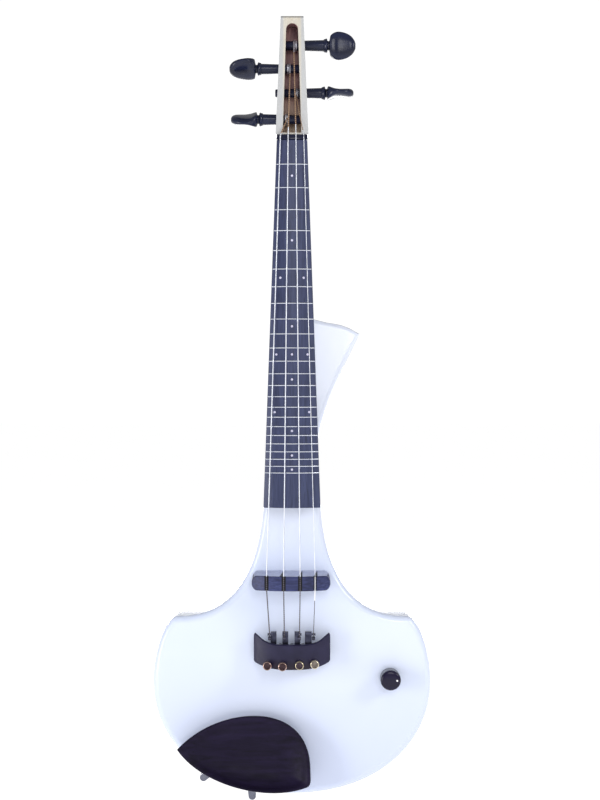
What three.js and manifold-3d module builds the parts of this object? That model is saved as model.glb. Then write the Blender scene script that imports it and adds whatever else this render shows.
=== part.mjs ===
// Solid-body electric violin with frets, as an assembly of separate pieces.
//
// Construction space, in millimetres: u runs across the instrument (towards the
// treble side), v runs along the neck with 0 under the bridge saddles, and w is
// the height above the flat back. The group turns this so that the neck points
// up +Z and the face looks towards -Y, and puts the origin on the back, in the
// middle of the widest part of the lower bout.
import * as THREE from 'three';
import { mergeVertices } from 'three/addons/utils/BufferGeometryUtils.js';
import Module from 'manifold-3d';

const wasm = await Module();
wasm.setup();

const RAD = Math.PI / 180;
const FIT_GAP = 0.1;            // between pieces that are glued or screwed together
const RUN_GAP = 0.3;            // between pieces that move

// ---- strings and fingerboard -------------------------------------------------
const SCALE = 328;              // nut to saddle
const BOARD_END = 56.3;         // v of the board's free end
const BOARD_HALF_NUT = 11.35;
const BOARD_HALF_END = 21.05;
const BOARD_RADIUS = 42;        // crossways arch of the board, nut and strings
const BOARD_CROWN_NUT = 44.6;   // w of the board's centre line
const BOARD_CROWN_END = 57.2;
const BOARD_EDGE = 4.5;         // thickness of the board's side
const BOARD_STRIPS = 10;        // flat strips that make up the arch
const BOARD_LENGTHS = 14;       // and how many lengths each strip is split into
const FRET_COUNT = 24;
const FRET_WIDTH = 1.0;
const FRET_HEIGHT = 0.55;
const NUT_LENGTH = 4;
const STRING_SIDES = 5;
const STRING_NAMES = ['g', 'd', 'a', 'e'];
const STRING_RADII = [0.42, 0.4, 0.36, 0.24];
const STRING_U_NUT = [-8.7, -2.9, 2.9, 8.7];
const STRING_U_SADDLE = [-18.5, -6.0, 6.0, 16.9];
const STRING_U_TAIL = [-16.4, -5.6, 5.5, 15.8];
const STRING_CROWN_NUT = 45.4;
const STRING_CROWN_SADDLE = 64;
const STRING_TAIL_W = 54.9;
const STRING_TAIL_FALL = 0.05;  // per millimetre away from the middle
const NUT_GROOVE = 0.5;
const COIL_GAP = 0.2;           // between a winding and its peg
const BALL_V = -39.3;

// ---- body ----------------------------------------------------------------------
const BODY_THICK = 40;
const BODY_ROUND = 5;           // radius of the rounded-over edges
const BODY_HALF = 103.1;        // half width of the lower bout
const BOUT_V = -73.4;           // v of its widest part
const BODY_END = -157;          // v of the lower end
const SPINE_ROUND = 3.4;        // the same on the spine and horn
const SPINE_TOP = 198;          // v of the spine's end, where the free neck starts
const SPINE_LOW = 60;
const SPINE_FACE_DROP = 10.9;   // how far the spine's face falls towards the heel
const SPINE_BACK_RISE = 9;      // how far its back rises

// ---- headstock -----------------------------------------------------------------
const NECK_LOW = 80;            // v of the neck's end under the board
const NECK_BACK_TOP = 25;       // w of its back where the headstock starts
const NECK_TURN = 318;          // v of that place
const HEAD_LOW = 332.3;
const HEAD_TOP = 423.5;
const HEAD_FRONT = 40.4;        // w of the front plane beside the nut
const HEAD_TILT = 8 * RAD;      // the front plane falls back by this much
const HEAD_BACK_LOW = 14.5;     // w of the headstock's back
const HEAD_BACK_TOP = 9;
const HEAD_BEVEL = 3;           // at the top end only
const HEAD_HALF_LOW = 12.2;
const HEAD_HALF_TOP = 8.5;
const SLOT_LOW = 333.6;
const SLOT_TOP = 417.3;
const SLOT_HALF_LOW = 6.9;
const SLOT_HALF_TOP = 4.5;
const SLOT_DEPTH = 15;
const PEG_DEPTH = 8.4;          // peg axis below the front plane
const PEG_V = [344.8, 383.6, 401.6, 365.0];
const PEG_SIDE = [-1, -1, 1, 1];
const PEG_COLLAR = [21.6, 23.0, 23.6, 21.9];
const PEG_TWIST = [-66 * RAD, 55 * RAD, 0, 90 * RAD];
const PEG_TIP_PROUD = [0, 0, 0, 1.8];
const PEG_R_COLLAR = [4.1, 3.95, 4.3, 3.95];
const PEG_TAPER = 1 / 34;
// Collar ring: distance along the peg from the collar, and how far it stands out.
const PEG_RING = [[0, 0], [0.5, 0.7], [2.2, 1.15], [2.7, 0.7], [3.0, -0.6], [4.3, -0.7]];
// Thumb piece: distance, half width, half thickness, and how square its section is.
const PEG_THUMB = [
  [4.6, 5.2, 4.6, 2], [5.2, 7.5, 4.8, 3.4], [7.2, 9.4, 4.2, 3], [10, 10.6, 3.3, 2.4],
  [13.5, 10.5, 3.0, 2], [17.5, 9.3, 3.2, 2], [20.8, 7.2, 3.4, 2], [23, 4.4, 2.7, 2], [24, 2.0, 1.3, 2],
];
const PEG_SIDES = 16;
const COIL_U = [-2.9, -1.4, 1.2, 2.2];
const COIL_PITCH = 1.05;
const COIL_TURNS = 2.5;
const COIL_STEPS = 12;

// ---- bridge and tailpiece --------------------------------------------------------
const BRIDGE_MIDDLE = -0.7;
const BRIDGE_HALF = 25;
const BRIDGE_END_BULGE = 3.9;   // the ends are rounded in plan
const BRIDGE_END_STEPS = 4;
const BRIDGE_CROWN = 65.1;
const BRIDGE_ARCH = 95;         // the top falls by u squared over this
const BRIDGE_V = [-3.8, 6.8];   // top faces
const BRIDGE_FOOT_V = [-4.4, 9.0];
const SADDLE_SLOT = [3, 3, 3, 2.2];
const TAIL_HALF = 28.1;
const TAIL_CROWN = 58.5;
const TAIL_ARCH = 100;
const TAIL_THICK = 4;
const TAIL_FOOT_U = 22.5;
const TAIL_FOOT_V = -50;
const TUNER_U = [-18, -6.9, 5.5, 16.6];
const TUNER_V = [-58.4, -58.6, -57.9, -57.6];
const TUNER_PROUD = [3.2, 2.8, 1.6, 1.1];
const LEVER_U = [-13.5, -4.9, 4.0, 12.0];
const LEVER_PIVOT = [-45, 48.6];
const LEVER_WIDTH = [4.2, 4.2, 4.2, 5];
const LEVER_LUGS = [-19.3, -8.7, 0, 7.8, 19.3];   // ears under the tailpiece, between the levers
const PIN_R = 0.8;              // pivot pin through the ears and levers
const SCREW_STEM_R = 1.3;
const BALL_R = 1.5;

// ---- controls, electronics and chin rest -------------------------------------------
const KNOB_U = 72.5;
const KNOB_V = -70.3;
const KNOB_R = 7.5;
const KNOB_TOP = 55.2;
const CAVITY_U = [26, 84];
const CAVITY_V = [-108, -55];
const CAVITY_DEPTH = 32;
const COVER_THICK = 2.2;
const COVER_LIP = 4.1;          // how far the cover reaches past the cavity
const POT_BUSH_R = 3.6;
const JACK_IN = [71, -85];
const JACK_W = 18;
const JACK_R = 4.7;
const JACK_WELL_R = 9;
const JACK_BORE_R = 3.25;        // takes a 6.35 mm plug
const CLAMP_U = [-65.4, -29.4];
const CLAMP_V = [-143.6, -157.4];
const CLAMP_PAD = [[-53, -134], [-31, -143]];
const CLAMP_POCKET = 5.4;
const ARM_HALF = 2.7;
const BARREL_R = 2.7;
const BARREL_BORE = 1.8;
const STUD_R = 1.5;
const REST_CENTRE = [-27, -127];
const REST_RIM = [60.5, 54];     // w of the rim beside the body's edge and on the inner side

// ---- colours ---------------------------------------------------------------------
const LOOKS = {
  paint: [0xeaf0fb, 0.12, 0], cream: [0xe6e2d8, 0.35, 0], ebony: [0x1b1b22, 0.35, 0],
  board: [0x2a2d38, 0.45, 0], silver: [0xc9ccd4, 0.25, 1], steel: [0xb9bcc4, 0.3, 1],
  wound: [0xa9acb5, 0.35, 1], black: [0x14141a, 0.25, 0], chin: [0x1d1720, 0.55, 0],
  tail: [0x221f29, 0.4, 0], brass: [0xa9774f, 0.3, 1], gold: [0xb79a5a, 0.3, 1],
  plastic: [0x17171c, 0.5, 0], circuit: [0x1f5a3a, 0.5, 0], cell: [0x3a3d45, 0.4, 0],
};

const group = new THREE.Group();
group.name = 'electric_violin';
const space = new THREE.Group();
space.name = 'construction_space';
space.rotation.x = Math.PI / 2;
space.position.z = -BOUT_V;
group.add(space);

// ---- helpers -----------------------------------------------------------------------
const lerp = (a, b, t) => a + (b - a) * t;
const clamp01 = (t) => Math.min(1, Math.max(0, t));

function smoothstep(a, b, x) {
  const t = clamp01((x - a) / (b - a));
  return t * t * (3 - 2 * t);
}

function add(name, geometry, look) {
  const [color, roughness, metalness] = LOOKS[look];
  geometry.deleteAttribute('uv');
  geometry.computeVertexNormals();
  const mesh = new THREE.Mesh(
    geometry, new THREE.MeshStandardMaterial({ color, roughness, metalness, flatShading: true }));
  mesh.name = name;
  space.add(mesh);
  return mesh;
}

// Closed skin through equal-length rings; an end ring may be a single point.
function loft(rings) {
  const count = Math.max(...rings.map((ring) => ring.length));
  const positions = [];
  const starts = [];
  for (const ring of rings) {
    starts.push(positions.length / 3);
    for (const p of ring) positions.push(p.x, p.y, p.z);
  }
  const index = [];
  for (let r = 0; r + 1 < rings.length; r += 1) {
    for (let i = 0; i < count; i += 1) {
      const j = (i + 1) % count;
      const a = starts[r] + (rings[r].length > 1 ? i : 0);
      const b = starts[r] + (rings[r].length > 1 ? j : 0);
      const c = starts[r + 1] + (rings[r + 1].length > 1 ? j : 0);
      const d = starts[r + 1] + (rings[r + 1].length > 1 ? i : 0);
      if (a !== b) index.push(a, b, c);
      if (c !== d) index.push(a, c, d);
    }
  }
  capRing(index, starts[0], rings[0].length, true);
  capRing(index, starts[rings.length - 1], rings[rings.length - 1].length, false);
  return outward(indexed(positions, index));
}

function capRing(index, start, length, flip) {
  for (let i = 1; i + 1 < length; i += 1) {
    if (flip) index.push(start, start + i + 1, start + i);
    else index.push(start, start + i, start + i + 1);
  }
}

function indexed(positions, index) {
  const geometry = new THREE.BufferGeometry();
  geometry.setAttribute('position', new THREE.Float32BufferAttribute(positions, 3));
  geometry.setIndex(index);
  return geometry;
}

// Turns every triangle over if the body's volume comes out negative.
function outward(geometry) {
  const p = geometry.attributes.position;
  const index = geometry.index.array;
  const corner = [new THREE.Vector3(), new THREE.Vector3(), new THREE.Vector3()];
  let volume = 0;
  for (let i = 0; i < index.length; i += 3) {
    corner.forEach((c, k) => c.fromBufferAttribute(p, index[i + k]));
    volume += corner[0].dot(corner[1].clone().cross(corner[2]));
  }
  if (volume < 0) {
    for (let i = 0; i < index.length; i += 3) {
      [index[i + 1], index[i + 2]] = [index[i + 2], index[i + 1]];
    }
  }
  return geometry;
}

function solid(geometry) {
  const bare = geometry.clone();
  bare.deleteAttribute('normal');
  bare.deleteAttribute('uv');
  const merged = outward(mergeVertices(bare, 1e-4));
  return new wasm.Manifold(new wasm.Mesh({
    numProp: 3,
    vertProperties: new Float32Array(merged.attributes.position.array),
    triVerts: new Uint32Array(merged.index.array),
  }));
}

function surface(manifold) {
  const mesh = manifold.getMesh();
  const positions = [];
  for (let i = 0; i < mesh.vertProperties.length; i += mesh.numProp) {
    positions.push(...mesh.vertProperties.slice(i, i + 3));
  }
  return indexed(positions, Array.from(mesh.triVerts));
}

function join(first, ...others) {
  return surface(others.reduce((sum, other) => sum.add(solid(other)), solid(first)));
}

function cut(first, ...others) {
  return surface(others.reduce((rest, other) => rest.subtract(solid(other)), solid(first)));
}

function box(u0, u1, v0, v1, w0, w1) {
  const geometry = new THREE.BoxGeometry(u1 - u0, v1 - v0, w1 - w0);
  geometry.translate((u0 + u1) / 2, (v0 + v1) / 2, (w0 + w1) / 2);
  return geometry;
}

// Round bar along w, from w0 to w1.
function post(u, v, w0, w1, radius, sides = 20) {
  const geometry = new THREE.CylinderGeometry(radius, radius, w1 - w0, sides);
  geometry.rotateX(Math.PI / 2);
  geometry.translate(u, v, (w0 + w1) / 2);
  return geometry;
}

// Turned piece whose axis is w; the profile lists [radius, w] pairs.
function turned(profile, sides, u = 0, v = 0) {
  const points = profile.map(([radius, w]) => new THREE.Vector2(radius, w));
  const geometry = new THREE.LatheGeometry(points, sides);
  geometry.rotateX(Math.PI / 2);
  geometry.translate(u, v, 0);
  return geometry;
}

function plate(shape, w0, w1, curveSegments = 8) {
  const geometry = new THREE.ExtrudeGeometry(
    shape, { depth: w1 - w0, bevelEnabled: false, curveSegments });
  geometry.translate(0, 0, w0);
  return geometry;
}

// Points along a Bezier curve, without its first point; 2 or 3 further controls.
function bend(from, count, ...controls) {
  const points = [from, ...controls].map(([x, y]) => new THREE.Vector2(x, y));
  const curve = points.length === 4
    ? new THREE.CubicBezierCurve(...points) : new THREE.QuadraticBezierCurve(...points);
  return curve.getPoints(count).slice(1).map((p) => [p.x, p.y]);
}

// Each outline point moved inwards by a distance, with mitred corners.
function inset(points, distance) {
  const count = points.length;
  return points.map(([x, y], i) => {
    const [px, py] = points[(i + count - 1) % count];
    const [nx, ny] = points[(i + 1) % count];
    const a = new THREE.Vector2(py - y, x - px).normalize();
    const b = new THREE.Vector2(y - ny, nx - x).normalize();
    const scale = distance / (1 + a.dot(b));
    return [x + (a.x + b.x) * scale, y + (a.y + b.y) * scale];
  });
}

// Slab over a counter-clockwise outline, with both edges rounded over.
function roundedSlab(points, thickness, radius, steps) {
  const levels = [];
  for (let k = 0; k <= steps; k += 1) {
    const angle = Math.PI / 2 * k / steps;
    levels.push([radius * (1 - Math.sin(angle)), radius * (1 - Math.cos(angle))]);
  }
  const rings = levels.concat(levels.map(([d, w]) => [d, thickness - w]).reverse())
    .map(([d, w]) => inset(points, d).map(([x, y]) => [x, y, w]));
  const count = points.length;
  const index = [];
  for (let r = 0; r + 1 < rings.length; r += 1) {
    for (let i = 0; i < count; i += 1) {
      const j = (i + 1) % count;
      index.push(r * count + i, r * count + j, (r + 1) * count + j);
      index.push(r * count + i, (r + 1) * count + j, (r + 1) * count + i);
    }
  }
  const rim = inset(points, radius).map(([x, y]) => new THREE.Vector2(x, y));
  const last = (rings.length - 1) * count;
  for (const [a, b, c] of THREE.ShapeUtils.triangulateShape(rim, [])) {
    index.push(a, c, b);
    index.push(last + a, last + b, last + c);
  }
  return outward(indexed(rings.flat(2), index));
}

// Closed outline through corner points, each rounded by its own radius.
function roundedOutline(corners) {
  const shape = new THREE.Shape();
  const count = corners.length;
  corners.forEach(([x, y, r], i) => {
    const [px, py] = corners[(i + count - 1) % count];
    const [nx, ny] = corners[(i + 1) % count];
    const back = Math.hypot(px - x, py - y);
    const on = Math.hypot(nx - x, ny - y);
    const start = [x + (px - x) / back * r, y + (py - y) / back * r];
    if (i === 0) shape.moveTo(...start);
    else shape.lineTo(...start);
    shape.quadraticCurveTo(x, y, x + (nx - x) / on * r, y + (ny - y) / on * r);
  });
  shape.closePath();
  return shape;
}

// ---- fingerboard surface: a ruled arch between its two ends ---------------------------
const boardT = (v) => (SCALE - v) / (SCALE - BOARD_END);
const boardHalf = (v) => lerp(BOARD_HALF_NUT, BOARD_HALF_END, boardT(v));
const arch = (u) => u * u / (2 * BOARD_RADIUS);
const edgeNut = BOARD_CROWN_NUT - arch(BOARD_HALF_NUT) - BOARD_EDGE;
const edgeEnd = BOARD_CROWN_END - arch(BOARD_HALF_END) - BOARD_EDGE;
const boardUnder = (v) => lerp(edgeNut, edgeEnd, boardT(v));

// s runs from -1 to 1 across the board.
function boardTop(s, v) {
  const nut = BOARD_CROWN_NUT - arch(BOARD_HALF_NUT * s);
  const end = BOARD_CROWN_END - arch(BOARD_HALF_END * s);
  return lerp(nut, end, boardT(v));
}

function acrossBoard(v, lift, half = boardHalf(v)) {
  const points = [];
  for (let i = 0; i <= BOARD_STRIPS; i += 1) {
    const s = -1 + 2 * i / BOARD_STRIPS;
    points.push(new THREE.Vector3(half * s, v, boardTop(s * half / boardHalf(v), v) + lift));
  }
  return points;
}

function makeFingerboard() {
  const rings = [];
  for (let i = 0; i <= BOARD_LENGTHS; i += 1) {
    const v = lerp(SCALE - 0.15, BOARD_END, i / BOARD_LENGTHS);
    rings.push([
      new THREE.Vector3(-boardHalf(v) + 0.4, v, boardUnder(v)),
      ...acrossBoard(v, 0),
      new THREE.Vector3(boardHalf(v) - 0.4, v, boardUnder(v)),
    ]);
  }
  add('fingerboard', loft(rings), 'board');
}

// Fret crown: a low rounded bar that follows the arch of the board.
function makeFret(number) {
  const v = SCALE * 2 ** (-number / 12);
  const section = [[-0.5, 0], [-0.3, 0.8], [0, 1], [0.3, 0.8], [0.5, 0]];
  const rails = section.map(([along, height]) => acrossBoard(
    v + along * FRET_WIDTH, 0.07 + height * FRET_HEIGHT, boardHalf(v) - 0.25 - 0.35 * height));
  const rings = rails[0].map((_, i) => rails.map((rail) => rail[i]));
  const label = String(number).padStart(2, '0');
  add(`fret_${label}`, loft(rings), 'silver');
}

function makeNut() {
  const half = BOARD_HALF_NUT + 0.1;
  const top = (u, drop) => new THREE.Vector3(u, 0, STRING_CROWN_NUT - arch(u) - NUT_GROOVE - drop);
  const ring = (v, drop) => {
    const points = [];
    for (let i = 0; i <= 12; i += 1) points.push(top(lerp(-half, half, i / 12), drop));
    points.push(new THREE.Vector3(half, 0, edgeNut + FIT_GAP));
    points.push(new THREE.Vector3(-half, 0, edgeNut + FIT_GAP));
    return points.map((p) => new THREE.Vector3(p.x, v, p.z));
  };
  const back = SCALE + NUT_LENGTH;
  const rings = [
    ring(SCALE + 0.15, 0), ring(SCALE + 1.2, 0), ring(back - 1, 0.5), ring(back, 1.6)];
  add('nut', loft(rings), 'ebony');
}

// ---- strings ------------------------------------------------------------------------
const headFront = (v) => HEAD_FRONT - (v - HEAD_LOW) * Math.tan(HEAD_TILT);
const pegAxisW = (i) => headFront(PEG_V[i]) - PEG_DEPTH;
const pegShaftR = (i, u) => PEG_R_COLLAR[i] - (PEG_COLLAR[i] - PEG_SIDE[i] * u) * PEG_TAPER;
const headT = (v) => clamp01((v - HEAD_LOW) / (HEAD_TOP - HEAD_LOW));
const headHalf = (v) => lerp(HEAD_HALF_LOW, HEAD_HALF_TOP, headT(v));
const stringNutW = (i) => (
  STRING_CROWN_NUT - arch(STRING_U_NUT[i]) - NUT_GROOVE + STRING_RADII[i] + 0.04);
const stringSaddleW = (i) => STRING_CROWN_SADDLE - arch(STRING_U_SADDLE[i]);
const stringTailW = (i) => STRING_TAIL_W - STRING_TAIL_FALL * Math.abs(STRING_U_TAIL[i]);

// Angle at which the straight run meets the coil, measured from +w towards +v.
function coilEntry(i, radius) {
  const dv = PEG_V[i] - (SCALE + 2);
  const dw = pegAxisW(i) - stringNutW(i);
  return -Math.atan2(dw, dv) - Math.asin(radius / Math.hypot(dv, dw));
}

function stringRoute(i) {
  const coilR = pegShaftR(i, COIL_U[i]) + COIL_GAP + STRING_RADII[i];
  const entry = coilEntry(i, coilR);
  const points = [];
  const steps = COIL_TURNS * COIL_STEPS;
  for (let k = steps; k >= 0; k -= 1) {
    const turn = k / COIL_STEPS;
    const angle = entry + turn * 2 * Math.PI;
    points.push(new THREE.Vector3(
      COIL_U[i] + PEG_SIDE[i] * COIL_PITCH * turn,
      PEG_V[i] + coilR * Math.sin(angle),
      pegAxisW(i) + coilR * Math.cos(angle)));
  }
  points.push(new THREE.Vector3(STRING_U_NUT[i], SCALE + 2.6, stringNutW(i) + 0.05));
  points.push(new THREE.Vector3(STRING_U_NUT[i], SCALE + 0.4, stringNutW(i)));
  points.push(new THREE.Vector3(STRING_U_SADDLE[i], 4.5, stringSaddleW(i)));
  points.push(new THREE.Vector3(STRING_U_SADDLE[i], -3.2, stringSaddleW(i) - 0.1));
  points.push(new THREE.Vector3(STRING_U_TAIL[i], -36, stringTailW(i) + 0.35));
  points.push(new THREE.Vector3(STRING_U_TAIL[i], -38.2, stringTailW(i)));
  return points;
}

// Round bar that keeps its section square to a bent centre line.
function rod(points, radius, sides) {
  const rings = points.map((p, i) => {
    const before = points[Math.max(i - 1, 0)];
    const after = points[Math.min(i + 1, points.length - 1)];
    const incoming = p.clone().sub(before).normalize();
    const outgoing = after.clone().sub(p).normalize();
    const along = incoming.add(outgoing).normalize();
    const across = new THREE.Vector3(1, 0, 0);
    across.addScaledVector(along, -across.dot(along)).normalize();
    const up = new THREE.Vector3().crossVectors(along, across);
    const ring = [];
    for (let k = 0; k < sides; k += 1) {
      const angle = 2 * Math.PI * k / sides;
      ring.push(p.clone().addScaledVector(across, radius * Math.cos(angle))
        .addScaledVector(up, radius * Math.sin(angle)));
    }
    return ring;
  });
  return loft(rings);
}

function makeString(i) {
  const wire = rod(stringRoute(i), STRING_RADII[i], STRING_SIDES);
  const ball = new THREE.SphereGeometry(BALL_R, 10, 8);
  ball.scale(1, 1.05, 1);
  ball.translate(STRING_U_TAIL[i], BALL_V, stringTailW(i));
  add(`string_${STRING_NAMES[i]}`, join(wire, ball), i === 3 ? 'steel' : 'wound');
}

// ---- pegs --------------------------------------------------------------------------
function pegRing(i, along, wide, thin, power = 2) {
  const ring = [];
  const turn = new THREE.Vector2(Math.cos(PEG_TWIST[i]), Math.sin(PEG_TWIST[i]));
  for (let k = 0; k < PEG_SIDES; k += 1) {
    const angle = 2 * Math.PI * k / PEG_SIDES;
    const a = wide * rounder(Math.cos(angle), power);
    const b = thin * rounder(Math.sin(angle), power);
    ring.push(new THREE.Vector3(
      PEG_SIDE[i] * (PEG_COLLAR[i] + along),
      PEG_V[i] + a * turn.x - b * turn.y, pegAxisW(i) + a * turn.y + b * turn.x));
  }
  return ring;
}

// Signed power that turns a circle's sine or cosine into a squarer section's.
function rounder(x, power) {
  return Math.abs(x) < 1e-9 ? 0 : Math.sign(x) * Math.abs(x) ** (2 / power);
}

function makePeg(i) {
  const length = PEG_COLLAR[i] + headHalf(PEG_V[i]) + PEG_TIP_PROUD[i];
  const tip = PEG_R_COLLAR[i] - length * PEG_TAPER;
  const rings = [pegRing(i, -length, tip - 0.7, tip - 0.7), pegRing(i, 0.6 - length, tip, tip)];
  for (const [along, out] of PEG_RING) {
    rings.push(pegRing(i, along, PEG_R_COLLAR[i] + out, PEG_R_COLLAR[i] + out));
  }
  for (const [along, wide, thin, power] of PEG_THUMB) {
    rings.push(pegRing(i, along, wide, thin, power));
  }
  add(`peg_${STRING_NAMES[i]}`, loft(rings), 'ebony');
}

// ---- neck and pegbox -------------------------------------------------------------------
const spineT = (v) => (v - SPINE_LOW) / (SPINE_TOP - SPINE_LOW);
const spineFace = (v) => BODY_THICK - SPINE_FACE_DROP * Math.max(0, spineT(v));

function neckBack(v) {
  const heel = spineFace(SPINE_TOP) + FIT_GAP;
  if (v <= SPINE_TOP) return spineFace(v) + FIT_GAP;
  if (v < NECK_TURN) {
    return lerp(heel, NECK_BACK_TOP, (v - SPINE_TOP) / (NECK_TURN - SPINE_TOP));
  }
  const turned = lerp(NECK_BACK_TOP, HEAD_BACK_LOW, smoothstep(NECK_TURN, 346, v));
  return lerp(turned, HEAD_BACK_TOP, clamp01((v - 340) / (HEAD_TOP - 340)));
}

function neckFront(v) {
  if (v > HEAD_LOW) return headFront(v);
  return boardUnder(Math.min(v, SCALE)) - FIT_GAP;
}

function neckHalf(v) {
  if (v > HEAD_LOW) return headHalf(v);
  return boardHalf(Math.min(v, SCALE)) - 0.4;
}

// Flat top, with the back rounded between a D shape (power 2) and a box (power 9).
function neckSection(v) {
  const power = lerp(lerp(9, 2.3, smoothstep(190, 214, v)), 7, smoothstep(316, 338, v));
  const half = neckHalf(v);
  const front = neckFront(v);
  const depth = front - neckBack(v);
  const bevel = v > HEAD_TOP - 0.1 ? HEAD_BEVEL : 0;
  const ring = [];
  const steps = 14;
  for (let i = 0; i <= steps; i += 1) {
    const angle = Math.PI * i / steps;
    const c = Math.cos(angle);
    const s = Math.sin(angle);
    const x = Math.sign(c) * Math.abs(c) ** (2 / power) * half;
    const y = Math.abs(s) ** (2 / power) * (depth - bevel);
    ring.push(new THREE.Vector3(Math.abs(c) < 1e-9 ? 0 : x, v, front - bevel - y));
  }
  return ring;
}

function makeNeck() {
  const stations = [
    NECK_LOW, 135, 188, SPINE_TOP, 206, 214, 265, 316, 321, 326, 330, HEAD_LOW - 0.02,
    HEAD_LOW + 0.02, 335, 339, 343, 347, 365, 385, 405, HEAD_TOP - 2, HEAD_TOP,
  ];
  const blank = loft(stations.map(neckSection));
  const holes = STRING_NAMES.map((_, i) => pegHole(i));
  add('neck', cut(blank, pegboxSlot(), ...holes), 'cream');
}

function pegboxSlot() {
  const shape = new THREE.Shape();
  const end = SLOT_TOP - SLOT_HALF_TOP;
  shape.moveTo(-SLOT_HALF_LOW, SLOT_LOW);
  shape.lineTo(SLOT_HALF_LOW, SLOT_LOW);
  shape.lineTo(SLOT_HALF_TOP, end);
  shape.absarc(0, end, SLOT_HALF_TOP, 0, Math.PI, false);
  shape.closePath();
  const cutter = plate(shape, 0, 30, 6);
  // Shear the cutter so that its floor runs parallel to the front plane.
  const p = cutter.attributes.position;
  for (let i = 0; i < p.count; i += 1) {
    p.setZ(i, p.getZ(i) + headFront(p.getY(i)) - SLOT_DEPTH);
  }
  return cutter;
}

function pegHole(i) {
  const reach = headHalf(PEG_V[i]) + 3;
  const geometry = new THREE.CylinderGeometry(
    pegShaftR(i, PEG_SIDE[i] * reach) + RUN_GAP, pegShaftR(i, -PEG_SIDE[i] * reach) + RUN_GAP,
    2 * reach, 16);
  geometry.rotateZ(-PEG_SIDE[i] * Math.PI / 2);
  geometry.rotateX(Math.PI / 16);
  geometry.translate(0, PEG_V[i], pegAxisW(i));
  return geometry;
}

// ---- body ------------------------------------------------------------------------------
function bodyOutline() {
  const top = SPINE_LOW + 8;
  const half = [];
  half.push([boardHalf(top) - 0.6, top], [21.8, 52]);
  half.push(...bend([21.8, 52], 14, [25.4, 13], [39.8, -26], [85.5, -25.4]));
  half.push(...bend([85.5, -25.4], 3, [88.1, -25.4], [89.8, -27.4]));
  half.push(...bend([89.8, -27.4], 7, [99.7, -38.5], [BODY_HALF, -60], [BODY_HALF, BOUT_V]));
  half.push(...bend([BODY_HALF, BOUT_V], 15, [BODY_HALF, -119], [64.5, BODY_END], [0, BODY_END]));
  const bass = half.slice(0, -1);
  const treble = half.map(([u, v]) => [-u, v]).reverse();
  return bass.concat(treble).reverse();
}

function spineOutline() {
  const half = (v) => boardHalf(v) - 0.8;
  const tip = [50.4, 184.8];
  const root = [18.6, 195.2];
  const points = [[-half(SPINE_LOW), SPINE_LOW], [half(SPINE_LOW), SPINE_LOW], [half(102), 102]];
  points.push(...bend([half(102), 102], 10, [22.6, 131], [37, 156.5], tip));
  points.push(...bend(tip, 5, [35.2, 194.6], [31.9, 190.9], root));
  points.push([8, SPINE_TOP - 0.6], [-half(SPINE_TOP), SPINE_TOP]);
  return points;
}

// The spine thins evenly towards the heel: its face falls and its back rises.
function makeSpine() {
  const geometry = roundedSlab(spineOutline(), BODY_THICK, SPINE_ROUND, 3);
  const p = geometry.attributes.position;
  for (let i = 0; i < p.count; i += 1) {
    const t = spineT(p.getY(i));
    const low = SPINE_BACK_RISE * t;
    const high = BODY_THICK - 0.02 - SPINE_FACE_DROP * t;
    p.setZ(i, lerp(low, high, p.getZ(i) / BODY_THICK));
  }
  return geometry;
}

// Control cavity outline, grown by a margin for the cover's rebate.
function cavityOutline(margin) {
  const m = margin;
  const r = 7 + margin * 0.5;
  const [left, right] = CAVITY_U;
  const [low, high] = CAVITY_V;
  return roundedOutline([
    [left - m, low - m, r], [68 + m * 0.6, low - m, r], [right + m, -88 - m * 0.4, r],
    [right + m, high + m, r], [left - m, high + m, r],
  ]);
}

// Round bar along the jack's axis, between two distances from its inner end.
function jackBar(from, to, radius, sides) {
  const [u, v] = JACK_IN;
  return barAcross([v, JACK_W], u + from, u + to, radius, sides);
}

// Flat clamp frame: a pad inside the body's edge and an arm out to each barrel.
function clampFrame(w0, w1, margin) {
  const arms = CLAMP_U.map((u, i) => {
    const [pu, pv] = CLAMP_PAD[i];
    const lean = Math.atan2(CLAMP_V[i] - pv, u - pu);
    const r = ARM_HALF + margin;
    const shape = new THREE.Shape();
    shape.absarc(u, CLAMP_V[i], r, lean - Math.PI / 2, lean + Math.PI / 2, false);
    shape.absarc(pu, pv, r, lean + Math.PI / 2, lean + 1.5 * Math.PI, false);
    shape.closePath();
    return plate(shape, w0, w1, 6);
  });
  return join(padPlate(w0 + 0.01, w1 - 0.01, margin + 0.8), ...arms);
}

// The cork-faced pad that bears on the body, between the two arms.
function padPlate(w0, w1, margin) {
  const m = margin;
  const outline = roundedOutline([
    [-57 - m, -133, 3], [-52, -141 - m, 3], [-28, -148 - m, 3], [-24 + m, -139, 3], [-50, -128 + m, 3],
  ]);
  return plate(outline, w0, w1, 4);
}

function makeBody() {
  const slab = roundedSlab(bodyOutline(), BODY_THICK, BODY_ROUND, 4);
  const cavity = plate(cavityOutline(0), -1, CAVITY_DEPTH, 3);
  const rebate = plate(cavityOutline(COVER_LIP + 0.4), -1, COVER_THICK + 0.3, 3);
  const potHole = post(KNOB_U, KNOB_V, CAVITY_DEPTH - 2, BODY_THICK + 2, POT_BUSH_R + RUN_GAP, 20);
  const jackHole = jackBar(6, 32, JACK_R + 0.4, 20);
  const jackWell = jackBar(24.9, 37, JACK_WELL_R, 24);
  const pocket = clampFrame(-1, CLAMP_POCKET, 0.9);
  const body = cut(
    join(slab, makeSpine()), cavity, rebate, potHole, jackHole, jackWell, pocket);
  add('body', body, 'paint');
}

function makeBackCover() {
  add('back_cover', plate(cavityOutline(COVER_LIP), 0, COVER_THICK, 3), 'plastic');
}

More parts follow.
